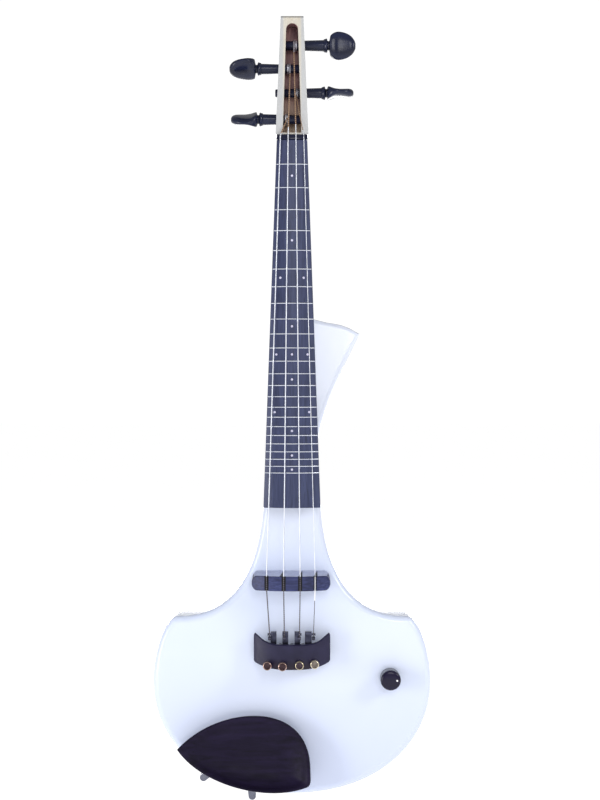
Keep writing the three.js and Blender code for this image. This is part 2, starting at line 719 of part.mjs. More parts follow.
// ---- bridge -----------------------------------------------------------------------------
function bridgeRing(u, halfDepthScale) {
  const top = BRIDGE_CROWN - u * u / BRIDGE_ARCH;
  const foot = BODY_THICK + FIT_GAP;
  const middle = (BRIDGE_V[0] + BRIDGE_V[1]) / 2;
  const at = (v, w) => new THREE.Vector3(u, lerp(middle, v, halfDepthScale), w);
  return [
    at(BRIDGE_FOOT_V[0], foot), at(BRIDGE_V[0], top - 0.8), at(BRIDGE_V[0] + 0.6, top),
    at(BRIDGE_V[1] - 0.3, top), at(BRIDGE_V[1] + 0.15, top - 0.6), at(BRIDGE_FOOT_V[1], foot),
  ];
}

// Rings round one end of the bridge, from its tip inwards.
function bridgeEnd(side) {
  const rings = [];
  for (let k = BRIDGE_END_STEPS; k >= 1; k -= 1) {
    const angle = 0.42 * Math.PI * k / BRIDGE_END_STEPS;
    const u = side * (BRIDGE_HALF + BRIDGE_END_BULGE * Math.sin(angle));
    rings.push(bridgeRing(BRIDGE_MIDDLE + u, Math.cos(angle)));
  }
  return rings;
}

function makeBridge() {
  const rings = bridgeEnd(-1);
  const steps = 18;
  for (let i = 0; i <= steps; i += 1) {
    rings.push(bridgeRing(BRIDGE_MIDDLE + lerp(-BRIDGE_HALF, BRIDGE_HALF, i / steps), 1));
  }
  rings.push(...bridgeEnd(1).reverse());
  const slots = STRING_NAMES.map((_, i) => {
    const half = SADDLE_SLOT[i] / 2;
    const u = STRING_U_SADDLE[i];
    return box(u - half, u + half, -8, 12, stringSaddleW(i) - STRING_RADII[i] - 0.25, 70);
  });
  add('bridge', cut(loft(rings), ...slots), 'ebony');
}

// ---- tailpiece ----------------------------------------------------------------------------
const tailTop = (u) => TAIL_CROWN - u * u / TAIL_ARCH;
const tailFrontV = (u) => -43.8 + 7.9 * Math.min(1, Math.abs(u) / 26.3) ** 4.2;
const tailBackV = (u) => -62 + 5.3 * (Math.abs(u) / TAIL_HALF) ** 3.2;

function tailRing(u, inset) {
  const edge = 0.7;
  const front = tailFrontV(u) - inset;
  const back = tailBackV(u) + inset * 0.5;
  const top = tailTop(u) - inset * 0.5;
  const under = tailTop(u) - TAIL_THICK;
  const at = (v, w) => new THREE.Vector3(u, v, w);
  return [
    at(back, under), at(back, top - edge), at(back + edge, top),
    at(front - edge, top), at(front, top - edge), at(front, under),
  ];
}

function makeTailpiece() {
  const rings = [tailRing(-TAIL_HALF, 1.4)];
  const steps = 20;
  for (let i = 0; i <= steps; i += 1) {
    rings.push(tailRing(lerp(-TAIL_HALF + 0.9, TAIL_HALF - 0.9, i / steps), 0));
  }
  rings.push(tailRing(TAIL_HALF, 1.4));
  const under = (u) => tailTop(u) - TAIL_THICK + 0.8;
  const lugs = LEVER_LUGS.map((u) => {
    const half = u === 0 ? 1.1 : 0.9;
    return box(u - half, u + half, LEVER_PIVOT[0] - 2.6, LEVER_PIVOT[0] + 0.9, 46.4, under(u) - 0.2);
  });
  const feet = [-1, 1].map((side) => post(
    side * TAIL_FOOT_U, TAIL_FOOT_V, BODY_THICK + FIT_GAP, under(TAIL_FOOT_U + 4) - 0.4, 3.6, 16));
  const pin = barAcross(LEVER_PIVOT, -30, 30, PIN_R + RUN_GAP, 10);
  const holes = TUNER_U.map((u, i) => post(u, TUNER_V[i], 40, 70, SCREW_STEM_R + RUN_GAP, 12));
  add('tailpiece', cut(join(loft(rings), ...lugs, ...feet), pin, ...holes), 'tail');
}

// Round bar along u through a point given as [v, w].
function barAcross([v, w], u0, u1, radius, sides) {
  const geometry = new THREE.CylinderGeometry(radius, radius, u1 - u0, sides);
  geometry.rotateZ(Math.PI / 2);
  geometry.translate((u0 + u1) / 2, v, w);
  return geometry;
}

// ---- fine tuners -----------------------------------------------------------------------------
function makeLever(i) {
  const [pv, pw] = LEVER_PIVOT;
  const shape = new THREE.Shape();
  shape.moveTo(-34.6, 55.9);
  shape.lineTo(-34.4, 50.6);
  shape.quadraticCurveTo(-34.6, 48.4, -37, 47.8);
  shape.lineTo(pv, pw - 2.3);
  shape.lineTo(-60, 45.4);
  shape.lineTo(-60, 47.2);
  shape.lineTo(pv - 3, pw + 0.4);
  shape.lineTo(pv - 1.6, pw + 1.7);
  shape.lineTo(pv + 3, pw + 2.2);
  shape.lineTo(-37.4, 50.9);
  shape.lineTo(-36.6, 51.6);
  shape.lineTo(-36.6, 55.9);
  shape.quadraticCurveTo(-35.6, 56.8, -34.6, 55.9);
  const arm = new THREE.ExtrudeGeometry(
    shape, { depth: LEVER_WIDTH[i], bevelEnabled: false, curveSegments: 4 });
  // The profile is drawn in (v, w) and extruded across u.
  arm.applyMatrix4(new THREE.Matrix4().set(0, 0, 1, 0, 1, 0, 0, 0, 0, 1, 0, 0, 0, 0, 0, 1));
  arm.translate(LEVER_U[i] - LEVER_WIDTH[i] / 2, 0, 0);
  const string = STRING_U_TAIL[i];
  const lug = box(
    Math.min(string - 1.5, LEVER_U[i] - 1), Math.max(string + 1.5, LEVER_U[i] + 1),
    -37.3, -35.9, 49.6, stringTailW(i) + 0.4);
  const pad = box(
    Math.min(TUNER_U[i] - 1.8, LEVER_U[i] - 1), Math.max(TUNER_U[i] + 1.8, LEVER_U[i] + 1),
    -59.9, -55.4, 45.5, 47.1);
  const groove = box(string - 0.85, string + 0.85, -38.4, -33, stringTailW(i) - 0.85, 60);
  const bore = barAcross(LEVER_PIVOT, -30, 30, PIN_R + RUN_GAP, 10);
  add(`tuner_lever_${STRING_NAMES[i]}`, cut(join(arm, lug, pad), groove, bore), 'plastic');
}

function makeTunerScrew(i) {
  const top = tailTop(TUNER_U[i]) + TUNER_PROUD[i];
  const profile = [
    [0, 48.2], [0.9, 48.2], [SCREW_STEM_R, 48.8], [SCREW_STEM_R, top], [2.9, top], [3.25, top + 0.35],
    [3.25, top + 4.4], [2.7, top + 5], [1.9, top + 5], [1.6, top + 4.7], [0, top + 4.7],
  ];
  const screw = turned(profile, 16, TUNER_U[i], TUNER_V[i]);
  add(`tuner_screw_${STRING_NAMES[i]}`, screw, i < 2 ? 'brass' : 'gold');
}

function makeLeverPin() {
  add('tuner_pivot_pin', barAcross(LEVER_PIVOT, -20.2, 20.2, PIN_R, 10), 'steel');
}

// ---- controls ------------------------------------------------------------------------------------
function makeControls() {
  const base = BODY_THICK + 0.4;
  const knob = [
    [0, 50.5], [3.1, 50.5], [3.1, base], [KNOB_R, base], [KNOB_R, KNOB_TOP - 1.6],
    [KNOB_R - 0.5, KNOB_TOP - 0.6], [KNOB_R - 1.5, KNOB_TOP - 0.1], [0, KNOB_TOP + 0.2],
  ];
  add('volume_knob', turned(knob, 28, KNOB_U, KNOB_V), 'black');
  const shaft = [[0, 27.4], [2.8, 27.4], [2.8, 50.2], [0, 50.2]];
  add('volume_shaft', turned(shaft, 16, KNOB_U, KNOB_V), 'steel');
  const pot = [
    [0, 24], [8, 24], [8, 31.6], [POT_BUSH_R, 31.6],
    [POT_BUSH_R, BODY_THICK - 0.4], [3.1, BODY_THICK - 0.4],
    [3.1, 27.1], [0, 27.1],
  ];
  add('potentiometer', turned(pot, 20, KNOB_U, KNOB_V), 'steel');
}

// The socket barrel: open at its outer end, closed inside the cavity.
function makeJack() {
  const points = [
    [0, -11.4], [6.2, -11.4], [6.2, 8.4], [JACK_R, 8.4], [JACK_R, 27.6], [4.3, 28],
    [3.6, 28], [JACK_BORE_R, 27.6], [JACK_BORE_R, -10], [0, -10],
  ].map(([r, d]) => new THREE.Vector2(r, d));
  add('output_jack', placeJack(new THREE.LatheGeometry(points, 20)), 'steel');
  const washer = [
    [5, 25.1], [8.2, 25.1], [8.2, 25.9], [6.6, 25.95], [6.6, 27.3], [6.1, 27.6], [5, 27.6], [5, 25.1],
  ].map(([r, d]) => new THREE.Vector2(r, d));
  add('jack_nut', placeJack(new THREE.LatheGeometry(washer, 18)), 'silver');
}

// Turns a lathe about y onto the jack's axis, which runs out through the body's side.
function placeJack(geometry) {
  geometry.rotateZ(-Math.PI / 2);
  geometry.translate(JACK_IN[0], JACK_IN[1], JACK_W);
  return geometry;
}

function makeElectronics() {
  const cell = box(28.5, 55, -106, -57.5, 4, 21.5);
  const terminals = [33.5, 46].map((u) => {
    const stud = new THREE.CylinderGeometry(3.2, 3.2, 1.8, 12);
    stud.translate(u + 2, -56.9, 12.7);
    return stud;
  });
  add('battery', join(cell, ...terminals), 'cell');
  const board = box(29, 61, -100, -62, 26.4, 28);
  const chips = [[34, -94], [34, -80], [48, -94], [48, -72]].map(
    ([u, v]) => box(u, u + 7, v, v + 9.5, 23.6, 26.5));
  add('preamp_board', join(board, ...chips), 'circuit');
}

// ---- chin rest ------------------------------------------------------------------------------------
function chinOutline() {
  const shape = new THREE.Shape();
  shape.moveTo(-84.3, -120.9);
  shape.bezierCurveTo(-69.6, -105.6, -48.8, -96.5, -27.7, -96.5);
  shape.bezierCurveTo(-3.4, -96.5, 13.5, -110, 13.5, -135.1);
  shape.bezierCurveTo(13.8, -143, 14.6, -146.6, 10.5, -148);
  shape.bezierCurveTo(-18.1, -159.1, -66.9, -145.8, -84.3, -120.9);
  return shape.getPoints(11).slice(0, -1);
}

// Height of the rim: higher along the body's edge than on the inner side.
const rimHeight = (v) => lerp(...REST_RIM, smoothstep(-152, -98, v));

function makeChinRest() {
  const outline = chinOutline();
  const ring = (scale, height) => outline.map((p) => new THREE.Vector3(
    lerp(REST_CENTRE[0], p.x, scale), lerp(REST_CENTRE[1], p.y, scale), height(p.y)));
  const mix = (base, share) => (v) => lerp(base, rimHeight(v), share);
  const rings = [
    ring(0.55, () => 45.4), ring(0.86, () => 45.6), ring(0.95, mix(46.4, 0.1)),
    ring(0.99, mix(48, 0.4)), ring(1, mix(49, 0.75)), ring(0.985, mix(50, 0.95)),
    ring(0.955, mix(50, 1)), ring(0.9, mix(50, 0.86)), ring(0.8, mix(49.8, 0.55)),
    ring(0.62, mix(49.5, 0.25)), ring(0.36, mix(49.2, 0.08)),
    [new THREE.Vector3(REST_CENTRE[0], REST_CENTRE[1], 49)],
  ];
  add('chin_rest', loft(rings), 'chin');
}

function makeClamp() {
  const studs = (w0, w1) => CLAMP_U.map((u, i) => post(u, CLAMP_V[i], w0, w1, STUD_R, 10));
  const upperPads = [padPlate(40.15, 42.6, 0), padPlate(43.8, 45.1, -0.6)];
  add('clamp_bracket', join(clampFrame(42.4, 44, 0), ...upperPads, ...studs(27, 43)), 'steel');
  const lowerPad = padPlate(3, CLAMP_POCKET - 0.25, 0);
  add('clamp_foot', join(clampFrame(0.6, 3.2, 0), lowerPad, ...studs(2, 16)), 'steel');
  CLAMP_U.forEach((u, i) => {
    const tube = turned([
      [BARREL_BORE, 8], [BARREL_R - 0.3, 8], [BARREL_R, 8.4], [BARREL_R, 37.6],
      [BARREL_R - 0.3, 38], [BARREL_BORE, 38], [BARREL_BORE, 8],
    ], 16, u, CLAMP_V[i]);
    const keyHole = barAcross([CLAMP_V[i], 21.5], u - 5, u + 5, 0.85, 10);
    add(`clamp_barrel_${i === 0 ? 'left' : 'right'}`, cut(tube, keyHole), 'steel');
  });
}

// ---- assembly ----------------------------------------------------------------------------------------
makeBody();
makeBackCover();
makeNeck();
makeFingerboard();
makeNut();
for (let number = 1; number <= FRET_COUNT; number += 1) makeFret(number);
for (let i = 0; i < STRING_NAMES.length; i += 1) {
  makePeg(i);
  makeString(i);
  makeLever(i);
  makeTunerScrew(i);
}
makeBridge();
makeTailpiece();
makeLeverPin();
makeControls();
makeJack();
makeElectronics();
makeChinRest();
makeClamp();

group.updateMatrixWorld(true);
export default group;
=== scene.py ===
import math

import bmesh
import bpy
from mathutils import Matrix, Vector


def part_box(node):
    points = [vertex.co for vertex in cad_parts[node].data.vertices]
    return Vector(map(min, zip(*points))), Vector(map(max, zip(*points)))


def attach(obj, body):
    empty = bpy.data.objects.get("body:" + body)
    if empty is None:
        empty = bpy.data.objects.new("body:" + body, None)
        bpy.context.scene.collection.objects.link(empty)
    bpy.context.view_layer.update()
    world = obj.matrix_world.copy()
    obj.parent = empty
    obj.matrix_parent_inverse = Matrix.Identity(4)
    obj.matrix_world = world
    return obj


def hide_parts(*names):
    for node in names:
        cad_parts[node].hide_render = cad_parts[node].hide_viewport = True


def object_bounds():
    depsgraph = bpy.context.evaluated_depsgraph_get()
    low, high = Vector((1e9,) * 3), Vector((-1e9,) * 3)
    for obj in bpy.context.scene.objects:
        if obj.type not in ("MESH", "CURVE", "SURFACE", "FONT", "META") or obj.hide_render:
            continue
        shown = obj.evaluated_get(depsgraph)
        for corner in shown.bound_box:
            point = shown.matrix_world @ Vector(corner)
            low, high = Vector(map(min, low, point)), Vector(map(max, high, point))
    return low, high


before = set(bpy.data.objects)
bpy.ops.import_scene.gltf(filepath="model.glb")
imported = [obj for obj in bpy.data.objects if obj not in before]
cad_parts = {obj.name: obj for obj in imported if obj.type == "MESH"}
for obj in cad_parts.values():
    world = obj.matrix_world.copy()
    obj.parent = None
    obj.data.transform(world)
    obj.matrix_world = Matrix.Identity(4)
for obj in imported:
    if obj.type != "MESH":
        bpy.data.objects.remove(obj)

CAD_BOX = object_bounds()

# Construction space, in millimetres: u across (treble side positive), v along the neck
# with 0 under the saddles, w the height above the flat back.
MM = 0.001
BOUT = 73.4                 # the origin lies this far below v = 0
STRINGS = ("g", "d", "a", "e")
ROOT = "instrument"

SCALE = 328.0               # nut to saddle
BOARD_END = 56.3
BOARD_HALF = (11.35, 21.05)
BOARD_RADIUS = 42.0
BOARD_CROWN = (44.6, 57.2)
HEAD_LOW = 332.3
HEAD_FRONT = 40.4
HEAD_TILT = math.radians(8)
SLOT = (333.6, 417.3)
SLOT_HALF = (6.9, 4.5)
SLOT_DEPTH = 15.0
PEG_R_COLLAR = {"g": 4.1, "d": 3.95, "a": 4.3, "e": 3.95}
PEG_TAPER = 1 / 34
PEG_COLLAR = {"g": 21.6, "d": 23.0, "a": 23.6, "e": 21.9}
PEG_SIDE = {"g": -1, "d": -1, "a": 1, "e": 1}
PEG_TWIST = {"g": -66, "d": 55, "a": 0, "e": 90}
CAVITY = ((26, 84), (-108, -55), (2.4, 32.2))


def place(u, v, w):
    """Row-frame point, in metres, of a construction-space point in millimetres."""
    return Vector((u * MM, -w * MM, (v + BOUT) * MM))


def unplace(point):
    """Construction-space (u, v, w) in millimetres of a row-frame point."""
    return point.x / MM, point.z / MM - BOUT, -point.y / MM


def lerp(a, b, t):
    return a + (b - a) * t


def clamp01(t):
    return min(1.0, max(0.0, t))


def smoothstep(a, b, x):
    t = clamp01((x - a) / (b - a))
    return t * t * (3 - 2 * t)


def srgb(red, green, blue):
    """Linear colour of an sRGB one given as 0 to 255."""
    def linear(c):
        c /= 255
        return c / 12.92 if c <= 0.04045 else ((c + 0.055) / 1.055) ** 2.4
    return linear(red), linear(green), linear(blue), 1.0


# ---- procedural materials ------------------------------------------------------------
class Shader:
    """One procedural material around a Principled shader, in object coordinates."""

    def __init__(self, name, **constants):
        self.material = bpy.data.materials.new(name)
        self.material.use_nodes = True
        self.tree = self.material.node_tree
        self.bsdf = self.tree.nodes["Principled BSDF"]
        self.height = None
        for key, value in constants.items():
            self.bsdf.inputs[key.replace("_", " ")].default_value = value

    def add(self, kind, **inputs):
        node = self.tree.nodes.new("ShaderNode" + kind)
        for key, value in inputs.items():
            node.inputs[key].default_value = value
        return node

    def link(self, source, target):
        self.tree.links.new(source, target)

    def where(self, stretch=(1, 1, 1)):
        mapping = self.add("Mapping", Scale=stretch)
        self.link(self.add("TexCoord").outputs["Object"], mapping.inputs["Vector"])
        return mapping.outputs["Vector"]

    def axis(self, name):
        split = self.add("SeparateXYZ")
        self.link(self.add("TexCoord").outputs["Object"], split.inputs[0])
        return split.outputs[name]

    def noise(self, scale, detail=3.0, stretch=(1, 1, 1), distortion=0.0):
        node = self.add("TexNoise", Scale=scale, Detail=detail, Distortion=distortion)
        self.link(self.where(stretch), node.inputs["Vector"])
        return node.outputs[0]

    def waves(self, scale, axis, distortion=0.0):
        node = self.add("TexWave", Scale=scale, Distortion=distortion)
        node.bands_direction = axis
        self.link(self.where(), node.inputs["Vector"])
        return node.outputs["Fac"]

    def math(self, operation, first, second=None):
        node = self.add("Math")
        node.operation = operation
        for socket, value in zip(node.inputs, (first, second)):
            if isinstance(value, (int, float)):
                socket.default_value = value
            elif value is not None:
                self.link(value, socket)
        return node.outputs[0]

    def span(self, fac, low, high, start=0.3, stop=0.7):
        """fac from start to stop becomes low to high."""
        node = self.add("MapRange")
        for key, value in (("From Min", start), ("From Max", stop), ("To Min", low), ("To Max", high)):
            node.inputs[key].default_value = value
        self.link(fac, node.inputs["Value"])
        return node.outputs[0]

    def mix(self, fac, first, second):
        """Colour blend; a colour is a tuple or a socket."""
        node = self.tree.nodes.new("ShaderNodeMix")
        node.data_type = "RGBA"
        self.link(fac, node.inputs[0])
        for socket, value in ((node.inputs[6], first), (node.inputs[7], second)):
            if isinstance(value, tuple):
                socket.default_value = value
            else:
                self.link(value, socket)
        return node.outputs[2]

    def colour(self, socket):
        self.link(socket, self.bsdf.inputs["Base Color"])

    def rough(self, fac, low, high):
        self.link(self.span(fac, low, high), self.bsdf.inputs["Roughness"])

    def bump(self, fac, depth_mm):
        node = self.add("Bump", Strength=1.0, Distance=depth_mm * MM)
        self.link(fac, node.inputs["Height"])
        if self.height is not None:
            self.link(self.height, node.inputs["Normal"])
        self.height = node.outputs["Normal"]
        self.link(self.height, self.bsdf.inputs["Normal"])


def speckled(name, tones, rough, grain, peel, **constants):
    """Two tones in soft clouds, with a fine roughness variation and a fine bump.

    tones: two colours; rough: low and high; grain: noise scale and stretch of the clouds;
    peel: noise scale and depth in millimetres of the bump."""
    shader = Shader(name, **constants)
    clouds = shader.noise(grain[0], 4.0, grain[1])
    shader.colour(shader.mix(shader.span(clouds, 0, 1), *tones))
    shader.rough(shader.noise(grain[0] * 7, 5.0, grain[1]), *rough)
    shader.bump(shader.noise(peel[0], 2.0), peel[1])
    return shader


EVEN = (1, 1, 1)
ALONG_NECK = (1, 1, 0.06)   # grain drawn out along the neck
ACROSS = (0.08, 1, 1)       # grain drawn out across the instrument


# Spans in metres, in a piece's own coordinates, over which one tone turns into another.
# The painted shade on the lower bout fades out over the next span.
LOW_BOUT_SHADE_FADE = (-0.085, 0.02)
SPINE_FADE = (0.085, 0.135)
SLOT_EDGE = (0.0058, 0.0074)
HEAD_START = (0.404, 0.407)
HEAD_FACE = (-0.022, -0.018)
# The painted shade in the pegbox grows over the next span.
PEGBOX_SHADE_FADE = (0.413, 0.440)
BROWN_HEIGHT = (0.0125, 0.0195)
BROWN_HALF = (0.012, 0.021)
TUNER_RIM = (0.00255, 0.00275)

# Scale of each wave pattern: a larger one has finer bands.
WIRE_BANDS = 640
THREAD_BANDS = 209
TRACK_BANDS = 120


def lacquer():
    """Gloss pale blue-white lacquer: faint clouding, painted shade over the lower bout, fine orange peel,
    hairline scuffs.
    """
    shader = Shader("body_lacquer", Coat_Weight=0.3, Coat_Roughness=0.07, IOR=1.46)
    clouds = shader.noise(9, 3.0)
    base = shader.mix(shader.span(clouds, 0, 1), srgb(214, 224, 248), srgb(222, 230, 250))
    # The lower bout is painted darker and bluer: painted shade.
    low = shader.span(shader.axis("Z"), 1, 0, *LOW_BOUT_SHADE_FADE)
    base = shader.mix(low, base, srgb(203, 212, 238))
    high = shader.span(shader.axis("Z"), 0, 1, *SPINE_FADE)
    base = shader.mix(high, base, srgb(218, 224, 240))
    dust = shader.noise(900, 2.0)
    shader.colour(shader.mix(shader.span(dust, 0, 0.35, 0.66, 0.8), base, srgb(198, 205, 226)))
    shader.rough(shader.noise(60, 6.0, (1, 1, 0.3)), 0.12, 0.24)
    shader.bump(shader.noise(190, 2.0), 0.005)
    return shader.material


def neck_lacquer():
    """The same lacquer, warmer, with bare maple showing at the edges of the pegbox."""
    shader = Shader("neck_lacquer", Coat_Weight=0.4, Coat_Roughness=0.08, IOR=1.46)
    clouds = shader.noise(14, 3.0, ALONG_NECK)
    white = shader.mix(shader.span(clouds, 0, 1), srgb(182, 183, 185), srgb(190, 191, 192))
    inner = shader.math("ABSOLUTE", shader.axis("X"))
    grain = shader.noise(420, 4.0, ALONG_NECK)
    bare = shader.mix(shader.span(grain, 0, 1), srgb(202, 194, 178), srgb(208, 203, 192))
    beside_slot = shader.span(inner, 1, 0, *SLOT_EDGE)
    up_head = shader.span(shader.axis("Z"), 0, 1, *HEAD_START)
    in_front = shader.span(shader.axis("Y"), 1, 0, *HEAD_FACE)
    near_slot = shader.math("MULTIPLY", shader.math("MULTIPLY", beside_slot, up_head), in_front)
    shader.colour(shader.mix(near_slot, white, bare))
    shader.rough(shader.noise(80, 6.0), 0.18, 0.34)
    shader.bump(grain, 0.01)
    return shader.material


def pegbox_wood():
    """Walnut-stained inside of the pegbox, with painted shade that makes it redder and darker towards its
    top.
    """
    shader = Shader("pegbox_wood", Coat_Weight=0.1)
    grain = shader.noise(300, 6.0, ALONG_NECK, 0.6)
    brown = shader.mix(shader.span(grain, 0, 1), srgb(150, 128, 114), srgb(212, 190, 162))
    # The redder, darker tone is painted shade towards the top of the pegbox.
    deep = shader.mix(shader.span(grain, 0, 1), srgb(108, 74, 82), srgb(172, 132, 128))
    height = shader.span(shader.axis("Z"), 0, 1, *PEGBOX_SHADE_FADE)
    shader.colour(shader.mix(height, brown, deep))
    shader.rough(shader.noise(150, 5.0), 0.45, 0.65)
    shader.bump(grain, 0.05)
    return shader.material


def board_wood():
    """Close-grained blue-black board, oiled, with faint pores along the neck."""
    shader = Shader("board_wood", Specular_IOR_Level=0.45)
    grain = shader.noise(520, 6.0, ALONG_NECK, 0.4)
    tone = shader.mix(shader.span(grain, 0, 1), srgb(36, 43, 76), srgb(56, 64, 100))
    pores = shader.noise(1900, 3.0, (1, 1, 0.04))
    shader.colour(shader.mix(shader.span(pores, 0, 0.8, 0.6, 0.72), tone, srgb(25, 28, 48)))
    shader.rough(shader.noise(60, 5.0, ALONG_NECK), 0.32, 0.5)
    shader.bump(pores, 0.03)
    return shader.material


def polished_ebony(name, tones=((13, 16, 34), (28, 34, 62)), rough=(0.16, 0.3)):
    """Turned and polished ebony with a faint streaky grain."""
    shader = speckled(name, [srgb(*t) for t in tones], rough, (160, ACROSS), (700, 0.006),
                      Coat_Weight=0.1, Coat_Roughness=0.14, Specular_IOR_Level=0.26)
    return shader.material


def bridge_black():
    """Blue-black bridge with fine sanding lines across it."""
    shader = Shader("bridge_black", Coat_Weight=0.1, Coat_Roughness=0.2, Specular_IOR_Level=0.2)
    lines = shader.noise(900, 4.0, (0.03, 1, 1))
    clouds = shader.noise(45, 3.0)
    tone = shader.mix(shader.span(lines, 0, 1), srgb(44, 48, 84), srgb(70, 78, 128))
    shader.colour(shader.mix(shader.span(clouds, 0, 0.7), tone, srgb(19, 21, 42)))
    shader.rough(lines, 0.34, 0.52)
    shader.bump(lines, 0.02)
    return shader.material


def tail_satin():
    """Satin violet-black, a little browner towards the lower middle."""
    shader = Shader("tail_satin", Specular_IOR_Level=0.32)
    clouds = shader.noise(70, 4.0)
    tone = shader.mix(shader.span(clouds, 0, 1), srgb(24, 21, 50), srgb(36, 33, 66))
    low = shader.span(shader.axis("Z"), 1, 0, *BROWN_HEIGHT)
    middle = shader.span(shader.math("ABSOLUTE", shader.axis("X")), 1, 0, *BROWN_HALF)
    # Browner towards the lower middle of the tailpiece.
    browner = shader.math("MULTIPLY", shader.math("MULTIPLY", low, middle), 0.8)
    shader.colour(shader.mix(browner, tone, srgb(38, 26, 36)))
    shader.rough(shader.noise(400, 5.0), 0.3, 0.46)
    shader.bump(shader.noise(1600, 3.0), 0.015)
    return shader.material


def plated(name, tones, rough):
    """Metal with faint clouds and fine dents."""
    shader = speckled(name, [srgb(*t) for t in tones], rough, (240, EVEN), (960, 0.004), Metallic=1.0)
    return shader.material


def wound_wire():
    """Round-wound wire: fine ridges across the string."""
    shader = Shader("wound_string", Metallic=1.0)
    ridges = shader.waves(WIRE_BANDS, "Z")
    clouds = shader.noise(120, 3.0)
    shader.colour(shader.mix(shader.span(clouds, 0, 1), srgb(214, 217, 228), srgb(238, 240, 246)))
    shader.rough(clouds, 0.36, 0.5)
    shader.bump(ridges, 0.008)
    return shader.material


def silk(name, tones):
    """Thread lapping at a string's end."""
    shader = Shader(name)
    threads = shader.waves(THREAD_BANDS, "Z", 0.4)
    shader.colour(shader.mix(threads, *[srgb(*t) for t in tones]))
    shader.rough(threads, 0.5, 0.7)
    shader.bump(threads, 0.05)
    return shader.material


def tuner_metal(name, rim, face):
    """Plated screw head: a bright rim, a painted highlight where its edge catches the light, with a darker
    face inside it.
    """
    shader = Shader(name, Metallic=1.0)
    x, z = shader.axis("X"), shader.axis("Z")
    square = shader.math("ADD", shader.math("MULTIPLY", x, x), shader.math("MULTIPLY", z, z))
    radius = shader.math("SQRT", square)
    blotch = shader.noise(500, 4.0)
    # The rim's brighter tone is a painted highlight.
    rim_highlight = shader.mix(shader.span(blotch, 0, 1), srgb(*rim), srgb(*(min(255, c + 22) for c in rim)))
    dark = shader.mix(shader.span(blotch, 0, 1), srgb(*face), srgb(*(c + 24 for c in face)))
    shader.colour(shader.mix(shader.span(radius, 0, 1, *TUNER_RIM), dark, rim_highlight))
    shader.rough(shader.noise(900, 4.0), 0.2, 0.38)
    shader.bump(shader.noise(1500, 3.0), 0.006)
    return shader.material


def chin_ebony():
    """Matte dark chin rest with an open grain."""
    shader = Shader("chin_ebony", Specular_IOR_Level=0.14)
    grain = shader.noise(210, 6.0, (0.12, 1, 1), 0.8)
    tone = shader.mix(shader.span(grain, 0, 1), srgb(13, 7, 27), srgb(28, 20, 48))
    pores = shader.noise(1500, 3.0, (0.05, 1, 1))
    shader.colour(shader.mix(shader.span(pores, 0, 0.8, 0.6, 0.74), tone, srgb(8, 6, 13)))
    shader.rough(shader.noise(90, 5.0), 0.42, 0.6)
    shader.bump(pores, 0.04)
    return shader.material


def moulded(name, tones, rough, peel=(1200, 0.02)):
    """Moulded plastic with a fine spark-eroded texture."""
    return speckled(name, [srgb(*t) for t in tones], rough, (150, EVEN), peel).material


def circuit_board():
    """Green resist over faint copper tracks."""
    shader = Shader("circuit_board", Coat_Weight=0.3)
    tracks = shader.waves(TRACK_BANDS, "X", 1.5)
    shader.colour(shader.mix(shader.span(tracks, 0, 1, 0.6, 0.7), srgb(22, 74, 46), srgb(48, 112, 70)))
    shader.rough(shader.noise(400), 0.3, 0.5)
    shader.bump(tracks, 0.03)
    return shader.material


def cork():
    shader = speckled("cork", [srgb(150, 112, 74), srgb(196, 158, 112)], (0.7, 0.9), (900, EVEN),
                      (1400, 0.08))
    return shader.material


def inlay():
    """Mother of pearl."""
    shader = Shader("inlay_pearl", Coat_Weight=0.5, Coat_Roughness=0.05)
    flow = shader.noise(700, 3.0, EVEN, 1.2)
    shader.colour(shader.mix(shader.span(flow, 0, 1), srgb(184, 182, 212), srgb(216, 214, 234)))
    shader.rough(flow, 0.15, 0.3)
    shader.bump(flow, 0.01)
    return shader.material


